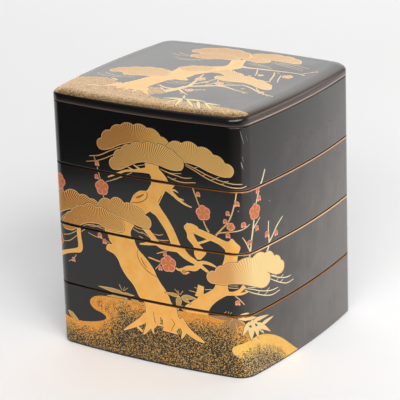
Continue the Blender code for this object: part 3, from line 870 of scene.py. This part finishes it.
def cut_along(picture, low_corner, high_corner, lines, more_points):
    """Cut a flat sheet along lines and a picture's outlines: points, triangles and what each one shows."""
    points, edges = [], []
    for line in lines:
        edges += [(len(points) + i, len(points) + i + 1) for i in range(len(line) - 1)]
        points += [Vector(place) for place in line]
    for outline, _, _ in picture:
        for start, end in zip(outline, np.roll(outline, -1, axis=0)):
            past_low = (np.maximum(start, end) >= low_corner).all()
            if past_low and (np.minimum(start, end) <= high_corner).all():
                edges.append((len(points), len(points) + 1))
                points += [Vector(start), Vector(end)]
    points += [Vector(place) for place in more_points]
    cut, _, triangles, *_ = delaunay_2d_cdt(points, edges, [], 0, 1e-4, False)
    places = np.array([tuple(place) for place in cut])
    triangles = np.array([tuple(triangle) for triangle in triangles])
    middles = places[triangles].mean(axis=1)
    kept = ((middles > low_corner) & (middles < high_corner)).all(axis=1)
    triangles, middles = triangles[kept], middles[kept]
    shown = np.full(len(triangles), -1)
    for i, (outline, _, _) in enumerate(picture):
        shown[inside(outline, middles)] = i
    return places, triangles, middles, shown


def lay_skin(places, triangles, alongs, spots, facings, painted, side):
    """Lay a cut sheet in place as a mesh in the making, with the finish of each triangle."""
    bm = bmesh.new()
    along_layer = bm.verts.layers.float.new("along")
    bm.verts.layers.float.new("reach")
    facing_layer = bm.verts.layers.float_vector.new("facing")
    side_layer = bm.faces.layers.int.new("side")
    finish_names = list(finishes)
    verts = {}
    for i in np.unique(triangles):
        verts[i] = bm.verts.new(spots[i] * MM)
        verts[i][along_layer] = alongs[i]
        verts[i][facing_layer] = facings[i]
    for triangle, name in zip(triangles, painted):
        face = bm.faces.new([verts[i] for i in triangle])
        face.material_index = finish_names.index(name)
        face[side_layer] = skin_sides.index(side)
    return bm


def extrude_ring(bm, ring, section, side, finish_name="black_lacquer"):
    """Extrude a ring of edges through a section of (inset, height, tilt of the surface or None)."""
    along_layer, reach_layer = bm.verts.layers.float["along"], bm.verts.layers.float["reach"]
    facing_layer, side_layer = bm.verts.layers.float_vector["facing"], bm.faces.layers.int["side"]
    reach, last = 0.0, None
    for inset, height, tilt in section:
        reach += math.dist((inset, height), last) if last else 1.0
        last = (inset, height)
        made = bmesh.ops.extrude_edge_only(bm, edges=ring)["geom"]
        ring = [item for item in made if isinstance(item, bmesh.types.BMEdge)]
        for item in made:
            if isinstance(item, bmesh.types.BMVert):
                place, out = on_outline(item[along_layer], inset)
                item.co = (place.x * MM, place.y * MM, height * MM)
                item[reach_layer] = reach
                item[facing_layer] = (0.0, 0.0, 0.0)
                if tilt is not None:
                    rise = math.sin(math.radians(tilt))
                    item[facing_layer] = out * math.cos(math.radians(tilt)) + Vector((0.0, 0.0, rise))
            elif isinstance(item, bmesh.types.BMFace):
                item[side_layer] = skin_sides.index(side)
                item.material_index = list(finishes).index(finish_name)
    return [edge for edge in ring if edge.is_boundary]


def rounding(inset, height, across, up, steps=ROUND_STEPS):
    """A quarter round that leaves a place upright and ends level, that far across and up, with its tilts."""
    turns = [90 * (step + 1) / steps for step in range(steps)]
    return [(inset + across * (1 - math.cos(math.radians(turn))), height + up * math.sin(math.radians(turn)),
             math.copysign(turn, up)) for turn in turns]


def finish_piece(bm, node, picture, shown, seen_from_above):
    """Close the skin, lay it out flat for its patterns, shade it and let it stand for its node."""
    bmesh.ops.remove_doubles(bm, verts=bm.verts, dist=1e-7)
    side_layer = bm.faces.layers.int["side"]
    for cap in bmesh.ops.holes_fill(bm, edges=[edge for edge in bm.edges if edge.is_boundary])["faces"]:
        beside = {face[side_layer] for edge in cap.edges for face in edge.link_faces if face != cap}
        cap[side_layer] = max(beside)
        cap.material_index = list(finishes).index("black_lacquer")
    bmesh.ops.recalc_face_normals(bm, faces=bm.faces)
    piece_name = "painted_" + node
    mesh = bpy.data.meshes.new(piece_name)
    bm.to_mesh(mesh)
    bm.free()
    mesh.shade_smooth()
    mesh.set_sharp_from_angle(angle=SHARP_EDGE)

    corner_verts = np.array([loop.vertex_index for loop in mesh.loops])
    corner_faces = np.repeat(np.arange(len(mesh.polygons)), [len(face.vertices) for face in mesh.polygons])
    spots = np.array([vert.co[:] for vert in mesh.vertices])[corner_verts] / MM
    alongs = np.array([item.value for item in mesh.attributes["along"].data])[corner_verts]
    reaches = np.array([item.value for item in mesh.attributes["reach"].data])[corner_verts]
    facings = np.array([item.vector[:] for item in mesh.attributes["facing"].data])[corner_verts]
    sides = np.array([item.value for item in mesh.attributes["side"].data])[corner_faces]

    # Corners on the seam count as the end of the outline that their face lies at
    at_seam = np.minimum(np.abs(alongs - seam), np.abs(alongs + perimeter - seam)) < 0.01
    away = np.bincount(corner_faces, np.where(at_seam, 0.0, alongs))
    alongs = np.where(at_seam, np.where(away[corner_faces] > 0, seam, seam - perimeter), alongs)

    # The picture's own patterns are drawn in millimetres, from each motif's root or below its crest
    flat = spots[:, :2] if seen_from_above else np.column_stack([alongs, spots[:, 2]])
    design = flat.copy()
    shapes = np.full(len(mesh.polygons), -1)
    shapes[:len(shown)] = shown
    shapes = shapes[corner_faces]
    for i in np.unique(shapes[shapes >= 0]):
        _, name, root = picture[i]
        corners = shapes == i
        if name.endswith("bank_gold"):
            design[corners] = (flat[corners] - root) * FAN_SHAPE
        elif name.endswith("ground"):
            design[corners, 1] = depth_under(root, flat[corners])
    mesh.uv_layers.new(name="design").data.foreach_set("uv", design.ravel())

    # The whole skin laid out flat without overlaps
    face_alongs = np.bincount(corner_faces, alongs) / np.bincount(corner_faces)
    quarters = (np.floor((face_alongs - seam) * 4 / perimeter)[corner_faces] + 4).clip(0, 3)
    low = min(spots[sides == skin_sides.index("wall"), 2])
    laid = np.column_stack([
        STRIP_MARGIN + (alongs - seam + perimeter - quarters * perimeter / 4) * STRIP_SCALE,
        STRIP_MARGIN + quarters * STRIP_PITCH + (spots[:, 2] - low) * STRIP_SCALE,
    ])
    if seen_from_above:
        laid[:, 1] = STRIP_MARGIN + quarters * LID_STRIP_PITCH + (spots[:, 2] - low) * STRIP_SCALE
        top = sides == skin_sides.index("top")
        from_corner = spots[top, :2] + (half_width, half_depth)
        laid[top] = from_corner * LID_TOP_SCALE + (STRIP_MARGIN, LID_TOP_MARGIN)
    outline_places = np.array([on_outline(along, 0.0)[0].xy for along in alongs])
    for side, middle in PLAN_MIDDLES.items():
        chosen = sides == skin_sides.index(side)
        shrink = (PLAN_SCALE * (1 - reaches[chosen] * PLAN_SHRINK))[:, None]
        laid[chosen] = middle + outline_places[chosen] * shrink
    mesh.uv_layers.new(name="OFBake").data.foreach_set("uv", laid.ravel())

    # Lacquer shows every facet, so the rounded and bowed skin is shaded by its true surface
    shaped = np.bincount(corner_faces, np.linalg.norm(facings, axis=1) < 0.5)[corner_faces] == 0
    mesh.normals_split_custom_set(np.where(shaped[:, None], facings, 0.0).tolist())

    for material in finishes.values():
        mesh.materials.append(material)
    piece = bpy.data.objects.new(piece_name, mesh)
    bpy.context.scene.collection.objects.link(piece)
    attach(piece, "root")
    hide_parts(node)


def paint_tray(node, is_lowest=False, rim_finish="rim_gold", rim_shade="rim_shade"):
    """Build the visible tray for that node, with its share of the picture."""
    lowest, rim = (corner.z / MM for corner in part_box(node))
    low = lowest if is_lowest else lowest + FOOT_DEPTH
    underside = lowest + BASE_RECESS_DEPTH if is_lowest else lowest
    floor_top = underside + FLOOR_THICKNESS
    wall_low, wall_high = low + LOWER_EDGE_RADIUS, rim - RIM_EDGE_RADIUS
    left, right = seam - perimeter, seam

    lines = [[(mark, wall_low), (mark, wall_high)] for mark in outline_marks()]
    levels = (wall_low, low + PICTURE_LOW_EDGE, wall_high - RIGHT_RIM_LINE_WIDTH,
              wall_high - RIM_LINE_WIDTH, wall_high)
    lines += [[(left, level), (right, level)] for level in levels]
    ground_points = [(x, y) for x in np.arange(*GROUND_REACH, GROUND_POINT_SPACING)
                     for y in np.arange(*GROUND_HEIGHTS, GROUND_POINT_SPACING) if wall_low < y < wall_high]
    places, triangles, middles, shown = cut_along(
        wall_picture, (left, wall_low), (right, wall_high), lines, ground_points)
    painted = np.array([name for _, name, _ in wall_picture] + ["black_lacquer"], dtype=object)[shown]
    heights = middles[:, 1]
    if is_lowest:
        painted[heights < low + PICTURE_LOW_EDGE] = "black_lacquer"
    line_widths = np.where(middles[:, 0] > 0, RIGHT_RIM_LINE_WIDTH, RIM_LINE_WIDTH)
    painted[heights > wall_high - line_widths] = rim_finish

    spots, facings = [], []
    for along, height in places:
        place, out = on_outline(along, 0.0)
        spots.append(place + Vector((0.0, 0.0, height)))
        facings.append(out)
    bm = lay_skin(places, triangles, places[:, 0], spots, facings, painted, "wall")

    foot_inset = WALL_THICKNESS + FOOT_CLEARANCE
    lower_round = rounding(0.0, wall_low, LOWER_EDGE_RADIUS, -LOWER_EDGE_RADIUS)
    if is_lowest:
        under = [(BASE_RING_WIDTH, low, None), (BASE_RING_WIDTH + BASE_RECESS_DEPTH, underside, None)]
    else:
        under = [(foot_inset, low, None), (foot_inset, underside + FOOT_CHAMFER, None),
                 (foot_inset + FOOT_CHAMFER, underside, None)]
    rim_round = rounding(0.0, wall_high, RIM_EDGE_RADIUS, RIM_EDGE_RADIUS)
    floor_round = rounding(WALL_THICKNESS, floor_top + FLOOR_FILLET, FLOOR_FILLET, -FLOOR_FILLET)
    mouth = [(WALL_THICKNESS - RIM_INNER_CHAMFER, rim, None),
             (WALL_THICKNESS, rim - RIM_INNER_CHAMFER, None),
             (WALL_THICKNESS, floor_top + FLOOR_FILLET, None)]
    mouth += [(inset, height, None) for inset, height, _ in floor_round]
    boundary = [edge for edge in bm.edges if edge.is_boundary]
    lower_ring = [edge for edge in boundary if all(abs(v.co.z - wall_low * MM) < 1e-6 for v in edge.verts)]
    upper_ring = [edge for edge in boundary if all(abs(v.co.z - wall_high * MM) < 1e-6 for v in edge.verts)]
    lower_ring = extrude_ring(bm, lower_ring, lower_round, "wall",
                              "black_lacquer" if is_lowest else "edge_wear_and_highlight")
    extrude_ring(bm, lower_ring, under, "underneath")
    upper_ring = extrude_ring(bm, upper_ring, rim_round[:ROUND_STEPS // 3], "wall", rim_finish)
    # The rest of the rounding and the inner chamfer of the rim carry painted shade on the right
    upper_ring = extrude_ring(bm, upper_ring, rim_round[ROUND_STEPS // 3:], "wall", rim_shade)
    upper_ring = extrude_ring(bm, upper_ring, mouth[:1], "inside", rim_shade)
    extrude_ring(bm, upper_ring, mouth[1:], "inside")
    finish_piece(bm, node, wall_picture, shown, seen_from_above=False)


paint_tray("bottom_tray", is_lowest=True, rim_finish="dull_rim_gold")
paint_tray("second_tray", rim_finish="bright_rim_gold")
paint_tray("third_tray")
paint_tray("top_tray", rim_finish="black_lacquer", rim_shade="black_lacquer")


# The lid
# A flat band below, an elliptical shoulder above it and a top that rises very slightly to its middle. Its
# picture is drawn and cut in plan, as seen from above. An inset flange keeps it in place on the top tray.
LID_BAND_HEIGHT = 4.9
LID_SHOULDER_HEIGHT = 7.0
LID_SHOULDER_WIDTH = 14.0
LID_DOME_RISE = 1.95
LID_TOP_THICKNESS = 5.0
LID_FLANGE_THICKNESS = 2.6
LID_FLANGE_DEPTH = 3.0
LID_LOWER_EDGE_RADIUS = 0.8
SHOULDER_STEPS = 12
DOME_POINT_SPACING = 12.0
DOME_POINT_REACH = 90
DOME_BLEND = 8.0
SLOPE_STEP = 0.5

lid_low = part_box("lid")[0].z / MM + LID_FLANGE_DEPTH
band_top = lid_low + LID_BAND_HEIGHT
shoulder_top = band_top + LID_SHOULDER_HEIGHT

# The lid has been handled the most and its top is dulled in patches, greyer towards the front. Its band
# carries a painted reflection of the lit floor, strongest at its foot. On the right, below its top, it is
# browner, with a painted highlight along its foot
RIGHT_EDGE_X = (0.090, 0.098)
RIGHT_EDGE_Y = (-0.098, -0.090)
lid_lacquer, shader = bare_lacquer("lid_lacquer", 0.27)
place = add_node(lid_lacquer, "TexCoord")["Object"]
axes = add_node(lid_lacquer, "SeparateXYZ", [place])
clouds = add_node(lid_lacquer, "TexNoise", {"Vector": place, "Scale": 22.0, "Detail": 5.0})["Fac"]
right_edge = ((axes["X"], *RIGHT_EDGE_X), (axes["Y"], *RIGHT_EDGE_Y))
towards_front = (axes["Y"], 0.08, -0.08, 0.25, 1.0)
on_top = (axes["Z"], 0.2575, 0.261)
band_floor_reflection = (axes["Z"], 0.2545, 0.2508)
under_top = (axes["Z"], 0.2618, 0.260)
foot_highlight = (axes["Z"], 0.2528, 0.2516)
dulling_and_sheen = laid_over(
    lid_lacquer, LACQUER_COLOUR,
    (share_of(lid_lacquer, towards_front, (clouds, 0.3, 0.7, 0.7, 1.3), on_top), "#54504C"),
    # on the band, a painted reflection of the lit floor, strongest at its foot
    (share_of(lid_lacquer, band_floor_reflection, band_floor_reflection), "#4C3A36"),
    (share_of(lid_lacquer, *right_edge, under_top), "#40322A"),
    # on the right, a painted highlight along the foot
    (share_of(lid_lacquer, *right_edge, foot_highlight), "#A08A80"))
lid_lacquer.node_tree.links.new(dulling_and_sheen, shader.inputs["Base Color"])

# Its lower edge is worn through to brown and carries a painted highlight, paler on the right
WORN_EDGE_AND_HIGHLIGHT_COLOUR = "#50403B"
worn_lit_edge, shader = finish("worn_edge_and_highlight", WORN_EDGE_AND_HIGHLIGHT_COLOUR, 0.45, metallic=0.0)
axes = add_node(worn_lit_edge, "SeparateXYZ", [add_node(worn_lit_edge, "TexCoord")["Object"]])
right_highlight_share = share_of(worn_lit_edge, (axes["X"], *RIGHT_EDGE_X), (axes["Y"], *RIGHT_EDGE_Y))
worn_lit_edge.node_tree.links.new(laid_over(worn_lit_edge, WORN_EDGE_AND_HIGHLIGHT_COLOUR, (right_highlight_share, "#604C40")),
                         shader.inputs["Base Color"])

# The golds of the lid are paler than those of the walls
for name, colour, roughness in (
    ("lid_bark_gold", "#F1BF88", 0.5), ("lid_twig_gold", "#E2C89C", 0.5), ("lid_faint_gold", "#CBB894", 0.5),
    ("lid_bamboo_gold", "#E2CC9A", 0.5), ("lid_blossom_gold", "#DDAE88", 0.55),
    ("lid_blossom_edge_gold", "#EAC6A0", 0.5),
):
    finish(name, colour, roughness)
TOWARDS_NEAR_CORNER = (1.0, -1.0, 0.0)
needle_bank("lid_bank_gold", "#BE9768", "#D2B384", 2.0, TOWARDS_NEAR_CORNER, -0.095, 0.055)
sprinkled("lid_ground", 1700.0, 0.34, (12.0, 1.0, 0.3), "#2A2018", ("#B09070", "#C4AC90"),
          ("#E0A862", "#FFE0A8"))

# A second pine leans over the lid, with a plum beside it, on a bank of ground that runs over the shoulder
lid_picture = []
LID_GROUND_INSET = 1.5
LID_GROUND_RISE = 1.5
LID_GROUND_RISE_START = -190
LID_GROUND_RISE_LENGTH = 180
lid_crest = smooth([
    (-118, -60), (-108, -57), (-98, -56), (-90, -54), (-80, -52), (-70, -54), (-60, -59), (-50, -64),
    (-35, -66), (-20, -62), (-8, -61), (2, -66), (7, -72), (0, -78), (-5, -83), (3, -87.5), (18, -88.5),
    (32, -87.5), (46, -86.5), (62, -86), (78, -87), (92, -88), (101, -88.5), (106.3, -87.4),
])
front_rim = []
for along in np.arange(14.5, -268, -2):
    risen = min(1, max(0, along - LID_GROUND_RISE_START) / LID_GROUND_RISE_LENGTH)
    front_rim.append(on_outline(along, LID_GROUND_INSET + LID_GROUND_RISE * risen)[0].xy[:])
front_rim = np.array(front_rim)
touch(lid_picture, [np.vstack([lid_crest, front_rim])], "lid_ground", root=front_rim)

# Faint loose needles and dry grass
touch(lid_picture, [
    stroke((45, 66, 0.7), (60, 61.5, 1), (82, 57, 0.8)), stroke((50, 66, 0.7), (68, 65, 1), (86, 61.5, 0.8)),
    stroke((42, 64, 0.6), (60, 57, 0.9), (84, 52, 0.7)), stroke((26, 53, 0.7), (38, 50, 0.9), (52, 46, 0.8)),
    stroke((24, 50, 0.7), (38, 46, 0.9), (56, 42.5, 0.8)),
    stroke((-62, 57, 0.7), (-55, 53, 0.9), (-46, 51, 0.8)),
    stroke((-66, 51, 0.6), (-57, 47, 0.9), (-44, 48, 0.8)),
    stroke((-56, 40, 0.7), (-44, 36, 1), (-30, 38, 0.8), (-18, 45, 0.8)),
    stroke((-50, 34, 0.6), (-38, 33.5, 0.9), (-24, 38, 0.7)),
    stroke((-88, -36, 0.7), (-80, -40, 0.9), (-64, -42, 0.8)),
    stroke((-94, -41, 0.7), (-82, -45, 0.9), (-66, -46, 0.8)),
    stroke((-72, -48, 0.7), (-62, -43, 0.9), (-50, -41, 0.8)),
    stroke((-12, -37, 0.7), (-2, -40, 0.9), (8, -39, 0.8)),
    stroke((-13, -42, 0.7), (-4, -44, 0.9), (5, -42, 0.7)),
    stroke((-8, -38, 0.7), (4, -36, 0.9), (16, -37, 0.6)),
    stroke((36, -18, 0.7), (50, -21, 0.9), (66, -20, 0.8)),
], "lid_faint_gold")

# The plum's twigs, then the pine's trunks and roots, its banks of needles, and bamboo
lay(lid_picture, [
    stroke((24, 36, 5), (33, 34.5, 3.4), (46, 36.5, 3), (62, 38, 2.2), (80, 40.5, 1.4), (92, 40, 1)),
    stroke((64, 33, 1), (69, 22, 1.6), (72, 12, 1.6), (76, 2, 1)),
    stroke((74, 28, 1), (79, 14, 1.2), (83, 5, 0.8)), stroke((44, 34, 1), (50, 22, 1.2), (53, 14, 0.8)),
    stroke((88, 40, 0.8), (94, 50, 1), (98, 56, 0.8)),
    stroke((2, -68, 8), (7, -61, 7), (11, -52, 6), (14, -42, 4), (10, -22, 2.4), (6, -4, 1.6)),
    stroke((12, -47, 4), (25, -40, 3.6), (37, -33, 3), (46, -26, 2.4), (58, -20, 1.6)),
    stroke((36, -33, 2.6), (48, -32, 2.6), (60, -36, 1.8), (76, -39, 1)),
    stroke((57, -18, 1), (70, -23, 2), (86, -32, 2), (102, -36, 1)),
    stroke((74, -20, 1), (82, -28, 1.4), (92, -36, 0.8)),
    stroke((8, -58, 3.4), (-4, -58, 2.6), (-14, -53, 1.4)), stroke((12, -58, 3), (20, -64, 2), (28, -69, 1)),
    stroke((14, -55, 2.4), (24, -54, 2), (34, -49, 1.2)), stroke((13, -40, 2), (22, -26, 2), (26, -14, 1.2)),
    stroke((0, -66, 2.4), (-8, -60, 1.4)), stroke((28, -36, 1.6), (32, -24, 1.6), (30, -16, 1)),
], "lid_twig_gold", edge="lid_twig_gold")
lay(lid_picture, [
    between([(-28, -12), (-36, -25), (-38.5, -36), (-42, -46), (-46, -56), (-51, -64), (-60, -73)],
            [(0, -12), (-5, -26), (-14, -36), (-17.5, -47), (-20, -57), (-20, -66), (-13, -76)]),
    between([(3, 53), (7, 43), (9.5, 35), (8, 28), (0, 23), (-14, 15), (-27, 4), (-28, -8), (-34, -20)],
            [(16, 60), (20, 48), (23.5, 40), (27.5, 32), (24, 24), (18, 14), (6, 1), (0, -8), (-3, -15),
             (-4, -28)]),
    stroke((-14, -22, 14), (-5, -27, 9), (2.5, -28.5, 3)),
    stroke((-50, -64, 8), (-57, -71, 5), (-62, -79, 1.6)),
    stroke((-43, -68, 7), (-45, -74, 4), (-47, -80, 1.2)),
    stroke((-35, -69, 7), (-36, -75, 4), (-37, -81, 1.2)),
    stroke((-27, -69, 7), (-26, -76, 4), (-26, -82, 1.2)),
    stroke((-20, -68, 7), (-15, -76, 4), (-7, -83, 1.4)),
], "lid_bark_gold")
for root, tops, underside in (
    ((-18, 64),
     [(-45, 64, 0.5), (-49, 76, 0.2), (-38, 87, 0.17), (-20, 92, 0.15), (-3, 87, 0.15), (10, 79, 0.1)],
     [(15, 66), (0, 58), (-15, 60), (-30, 62)]),
    ((34, 66),
     [(8, 79, 0.2), (22, 91, 0.17), (40, 92, 0.15), (56, 87, 0.17), (69, 76, 0.4), (66, 69, 0.1)],
     [(50, 70), (40, 70.5), (33, 70), (22, 66)]),
    ((26, 52),
     [(12, 60, 0.2), (18, 71, 0.15), (33, 71, 0.36), (38, 58, 0.1)],
     [(30, 55.5), (24, 57), (18, 58)]),
    ((-16, 46),
     [(-37, 46, 0.45), (-41, 57, 0.2), (-28, 66, 0.17), (-12, 68, 0.17), (4, 64, 0.32), (7, 54, 0.1)],
     [(0, 52.5), (-10, 51), (-20, 47), (-28, 44.5)]),
    ((-4, 0),
     [(-24, 1, 0.5), (-25, 11, 0.2), (-14, 18.5, 0.17), (-2, 21, 0.2), (8, 12, 0.1)],
     [(2, 5), (-8, 1), (-16, -2)]),
    ((50, -14),
     [(17, 20, 0.12), (31, 15, 0.15), (44, 8, 0.17), (60, 4, 0.17), (75, -2, 0.17), (87, -13, 0.45),
      (83, -21, 0.1)],
     [(75, -19), (65, -14.5), (55, -12.5), (45, -14), (35, -15), (25, -13), (20.5, -8), (22, -2), (28, 0),
      (18, 5), (8, 6)]),
    ((-52, -34),
     [(-82, -30.5, 0.45), (-87, -21, 0.18), (-77, -12.5, 0.17), (-64, -7.5, 0.17), (-50, -4.5, 0.15),
      (-37, -6.5, 0.15), (-27, -12, 0.3)],
     [(-22, -24), (-30, -31), (-38, -32), (-48, -33), (-58, -36.5), (-66, -36.5), (-71, -31), (-76, -29.5)]),
):
    lay(lid_picture, [scalloped(tops, underside)], "lid_bank_gold", root=root)
lay(lid_picture, [
    leaf(31, -81, 11, -86, 4), leaf(32, -81, 56, -79.5, 4), leaf(31, -80, 26, -71, 2.6),
    leaf(30, -81, 35, -102, 4), leaf(36, -82, 54, -99, 3.6), leaf(30, -82, 20, -98, 3),
    leaf(54, -83.5, 74, -83.5, 3.6), leaf(48, -82, 62, -102, 3.6), leaf(57, -84, 76, -100, 3),
    leaf(-60, -56, -72, -51, 2.6), leaf(-84, -80, -58, -77.5, 2.8),
], "lid_bamboo_gold", edge="lid_bamboo_gold")

# The plum's blossoms and buds. The last two blossoms are too small for their petals to be parted
LID_BLOSSOM_CENTRE_RADIUS = 1.4
lid_blossoms = [
    (82, 26.5, 5.6, 90), (12, -20, 5.6, 80), (36, -25, 5, 70), (22, -56, 4.4, 95), (57, 18, 3.2, 90),
    (86, -31, 3.2, 90),
]
lid_buds = [
    (65, -29, 1.9), (73, -40, 2), (48, 12, 1.9), (92.5, 39, 1.8), (74, 2, 1.9), (20, -67, 1.9),
    (96, -36, 1.7), (24, -28, 2), (-14, -53, 1.8), (34, -49, 1.8), (68, 33, 1.7), (98, 56, 1.6),
]
lay(lid_picture, [blossom(*b) for b in lid_blossoms], "lid_blossom_gold", edge="lid_blossom_edge_gold",
    edge_width=BLOSSOM_EDGE_WIDTH)
touch(lid_picture, petal_lines(lid_blossoms[:4]), "lid_blossom_edge_gold")
touch(lid_picture, [disc(x, y, LID_BLOSSOM_CENTRE_RADIUS) for x, y, _, _ in lid_blossoms], "lid_twig_gold")
touch(lid_picture, [disc(*bud) for bud in lid_buds], "lid_blossom_gold")


def plan_place(places):
    """How far along the outline, and how far inside it, each place of the plan lies."""
    alongs, insets = np.zeros(len(places)), np.full(len(places), np.inf)
    for start, (centre_x, centre_y, radius, first_angle, turn, _) in zip(arc_starts, outline_arcs):
        offsets = places - (centre_x, centre_y)
        angles = (np.arctan2(offsets[:, 1], offsets[:, 0]) - first_angle + 1e-6) % (2 * math.pi) - 1e-6
        depths = radius - np.linalg.norm(offsets, axis=1)
        nearer = (angles <= turn + 1e-6) & (depths < insets)
        insets[nearer] = depths[nearer]
        alongs[nearer] = (start + angles * radius)[nearer]
    return np.where(alongs > seam, alongs - perimeter, alongs), insets


def dome_height(places):
    """How high the domed top stands over the shoulder's inner edge, as a share of its rise."""
    low, high = np.full(len(places), 0.001), np.full(len(places), 1.2)
    for _ in range(30):
        middle = (low + high) / 2
        beyond = plan_place(places / middle[:, None])[1] < LID_SHOULDER_WIDTH
        low, high = np.where(beyond, middle, low), np.where(beyond, high, middle)
    return 1 - low ** 2


def slope(height_of, places):
    """How steeply a height over the plan rises along X and along Y."""
    ways = np.eye(2) * SLOPE_STEP
    rises = [height_of(places + way) - height_of(places - way) for way in ways]
    return np.column_stack(rises) / (2 * SLOPE_STEP)


def lid_surface(places, insets):
    """The height and the upward normal of the lid's top at each place of the plan."""
    turns = np.arccos(np.clip(1 - insets / LID_SHOULDER_WIDTH, 0, 1))
    on_shoulder = insets < LID_SHOULDER_WIDTH
    heights = np.where(on_shoulder, band_top + LID_SHOULDER_HEIGHT * np.sin(turns),
                       shoulder_top + LID_DOME_RISE * dome_height(places))
    blend = np.clip((insets - LID_SHOULDER_WIDTH) / DOME_BLEND, 0, 1) * LID_DOME_RISE
    dome_normals = np.column_stack([-slope(dome_height, places) * blend[:, None], np.ones(len(places))])
    outwards = -slope(lambda spots: plan_place(spots)[1], places)
    outwards /= np.maximum(np.linalg.norm(outwards, axis=1), 1e-9)[:, None]
    shoulder_normals = np.column_stack([outwards * (LID_SHOULDER_HEIGHT * np.cos(turns))[:, None],
                                        LID_SHOULDER_WIDTH * np.sin(turns)])
    normals = np.where(on_shoulder[:, None], shoulder_normals, dome_normals)
    return heights, normals / np.linalg.norm(normals, axis=1)[:, None]


def paint_lid():
    """Build the visible lid, with its picture."""
    rings = [LID_SHOULDER_WIDTH * (1 - math.cos(math.pi / 2 * step / SHOULDER_STEPS))
             for step in range(SHOULDER_STEPS + 1)] + [LID_SHOULDER_WIDTH + DOME_BLEND]
    lines = [[tuple(on_outline(mark, inset)[0].xy) for mark in outline_marks()] for inset in rings]
    spread = np.arange(-DOME_POINT_REACH, DOME_POINT_REACH + 1, DOME_POINT_SPACING)
    dome_points = [(x, y) for x in spread for y in spread]
    places, triangles, middles, shown = cut_along(
        lid_picture, (-half_width, -half_depth), (half_width, half_depth), lines, dome_points)
    kept = plan_place(middles)[1] > 0
    triangles, shown = triangles[kept], shown[kept]
    painted = np.array([name for _, name, _ in lid_picture] + ["lid_lacquer"], dtype=object)[shown]
    painted[painted == "black_lacquer"] = "lid_lacquer"
    alongs, insets = plan_place(places)
    heights, normals = lid_surface(places, insets)
    spots = np.column_stack([places, heights])
    bm = lay_skin(places, triangles, alongs, [Vector(spot) for spot in spots], normals, painted, "top")

    flange_outside = WALL_THICKNESS + FOOT_CLEARANCE
    flange_inside = flange_outside + LID_FLANGE_THICKNESS
    flange_low = lid_low - LID_FLANGE_DEPTH
    ceiling = shoulder_top - LID_TOP_THICKNESS
    edge_height = lid_low + LID_LOWER_EDGE_RADIUS
    lower_round = rounding(0.0, edge_height, LID_LOWER_EDGE_RADIUS, -LID_LOWER_EDGE_RADIUS)
    ceiling_round = rounding(flange_inside, ceiling - FLOOR_FILLET, FLOOR_FILLET, FLOOR_FILLET)
    under = [(flange_outside, lid_low, None), (flange_outside, flange_low + FOOT_CHAMFER, None),
             (flange_outside + FOOT_CHAMFER, flange_low, None), (flange_inside, flange_low, None),
             (flange_inside, ceiling - FLOOR_FILLET, None)]
    under += [(inset, height, None) for inset, height, _ in ceiling_round]
    ring = [edge for edge in bm.edges if edge.is_boundary]
    ring = extrude_ring(bm, ring, [(0.0, edge_height, 0.0)], "wall", "lid_lacquer")
    ring = extrude_ring(bm, ring, lower_round, "wall", "worn_edge_and_highlight")
    extrude_ring(bm, ring, under, "underneath")
    finish_piece(bm, "lid", lid_picture, shown, seen_from_above=True)


paint_lid()
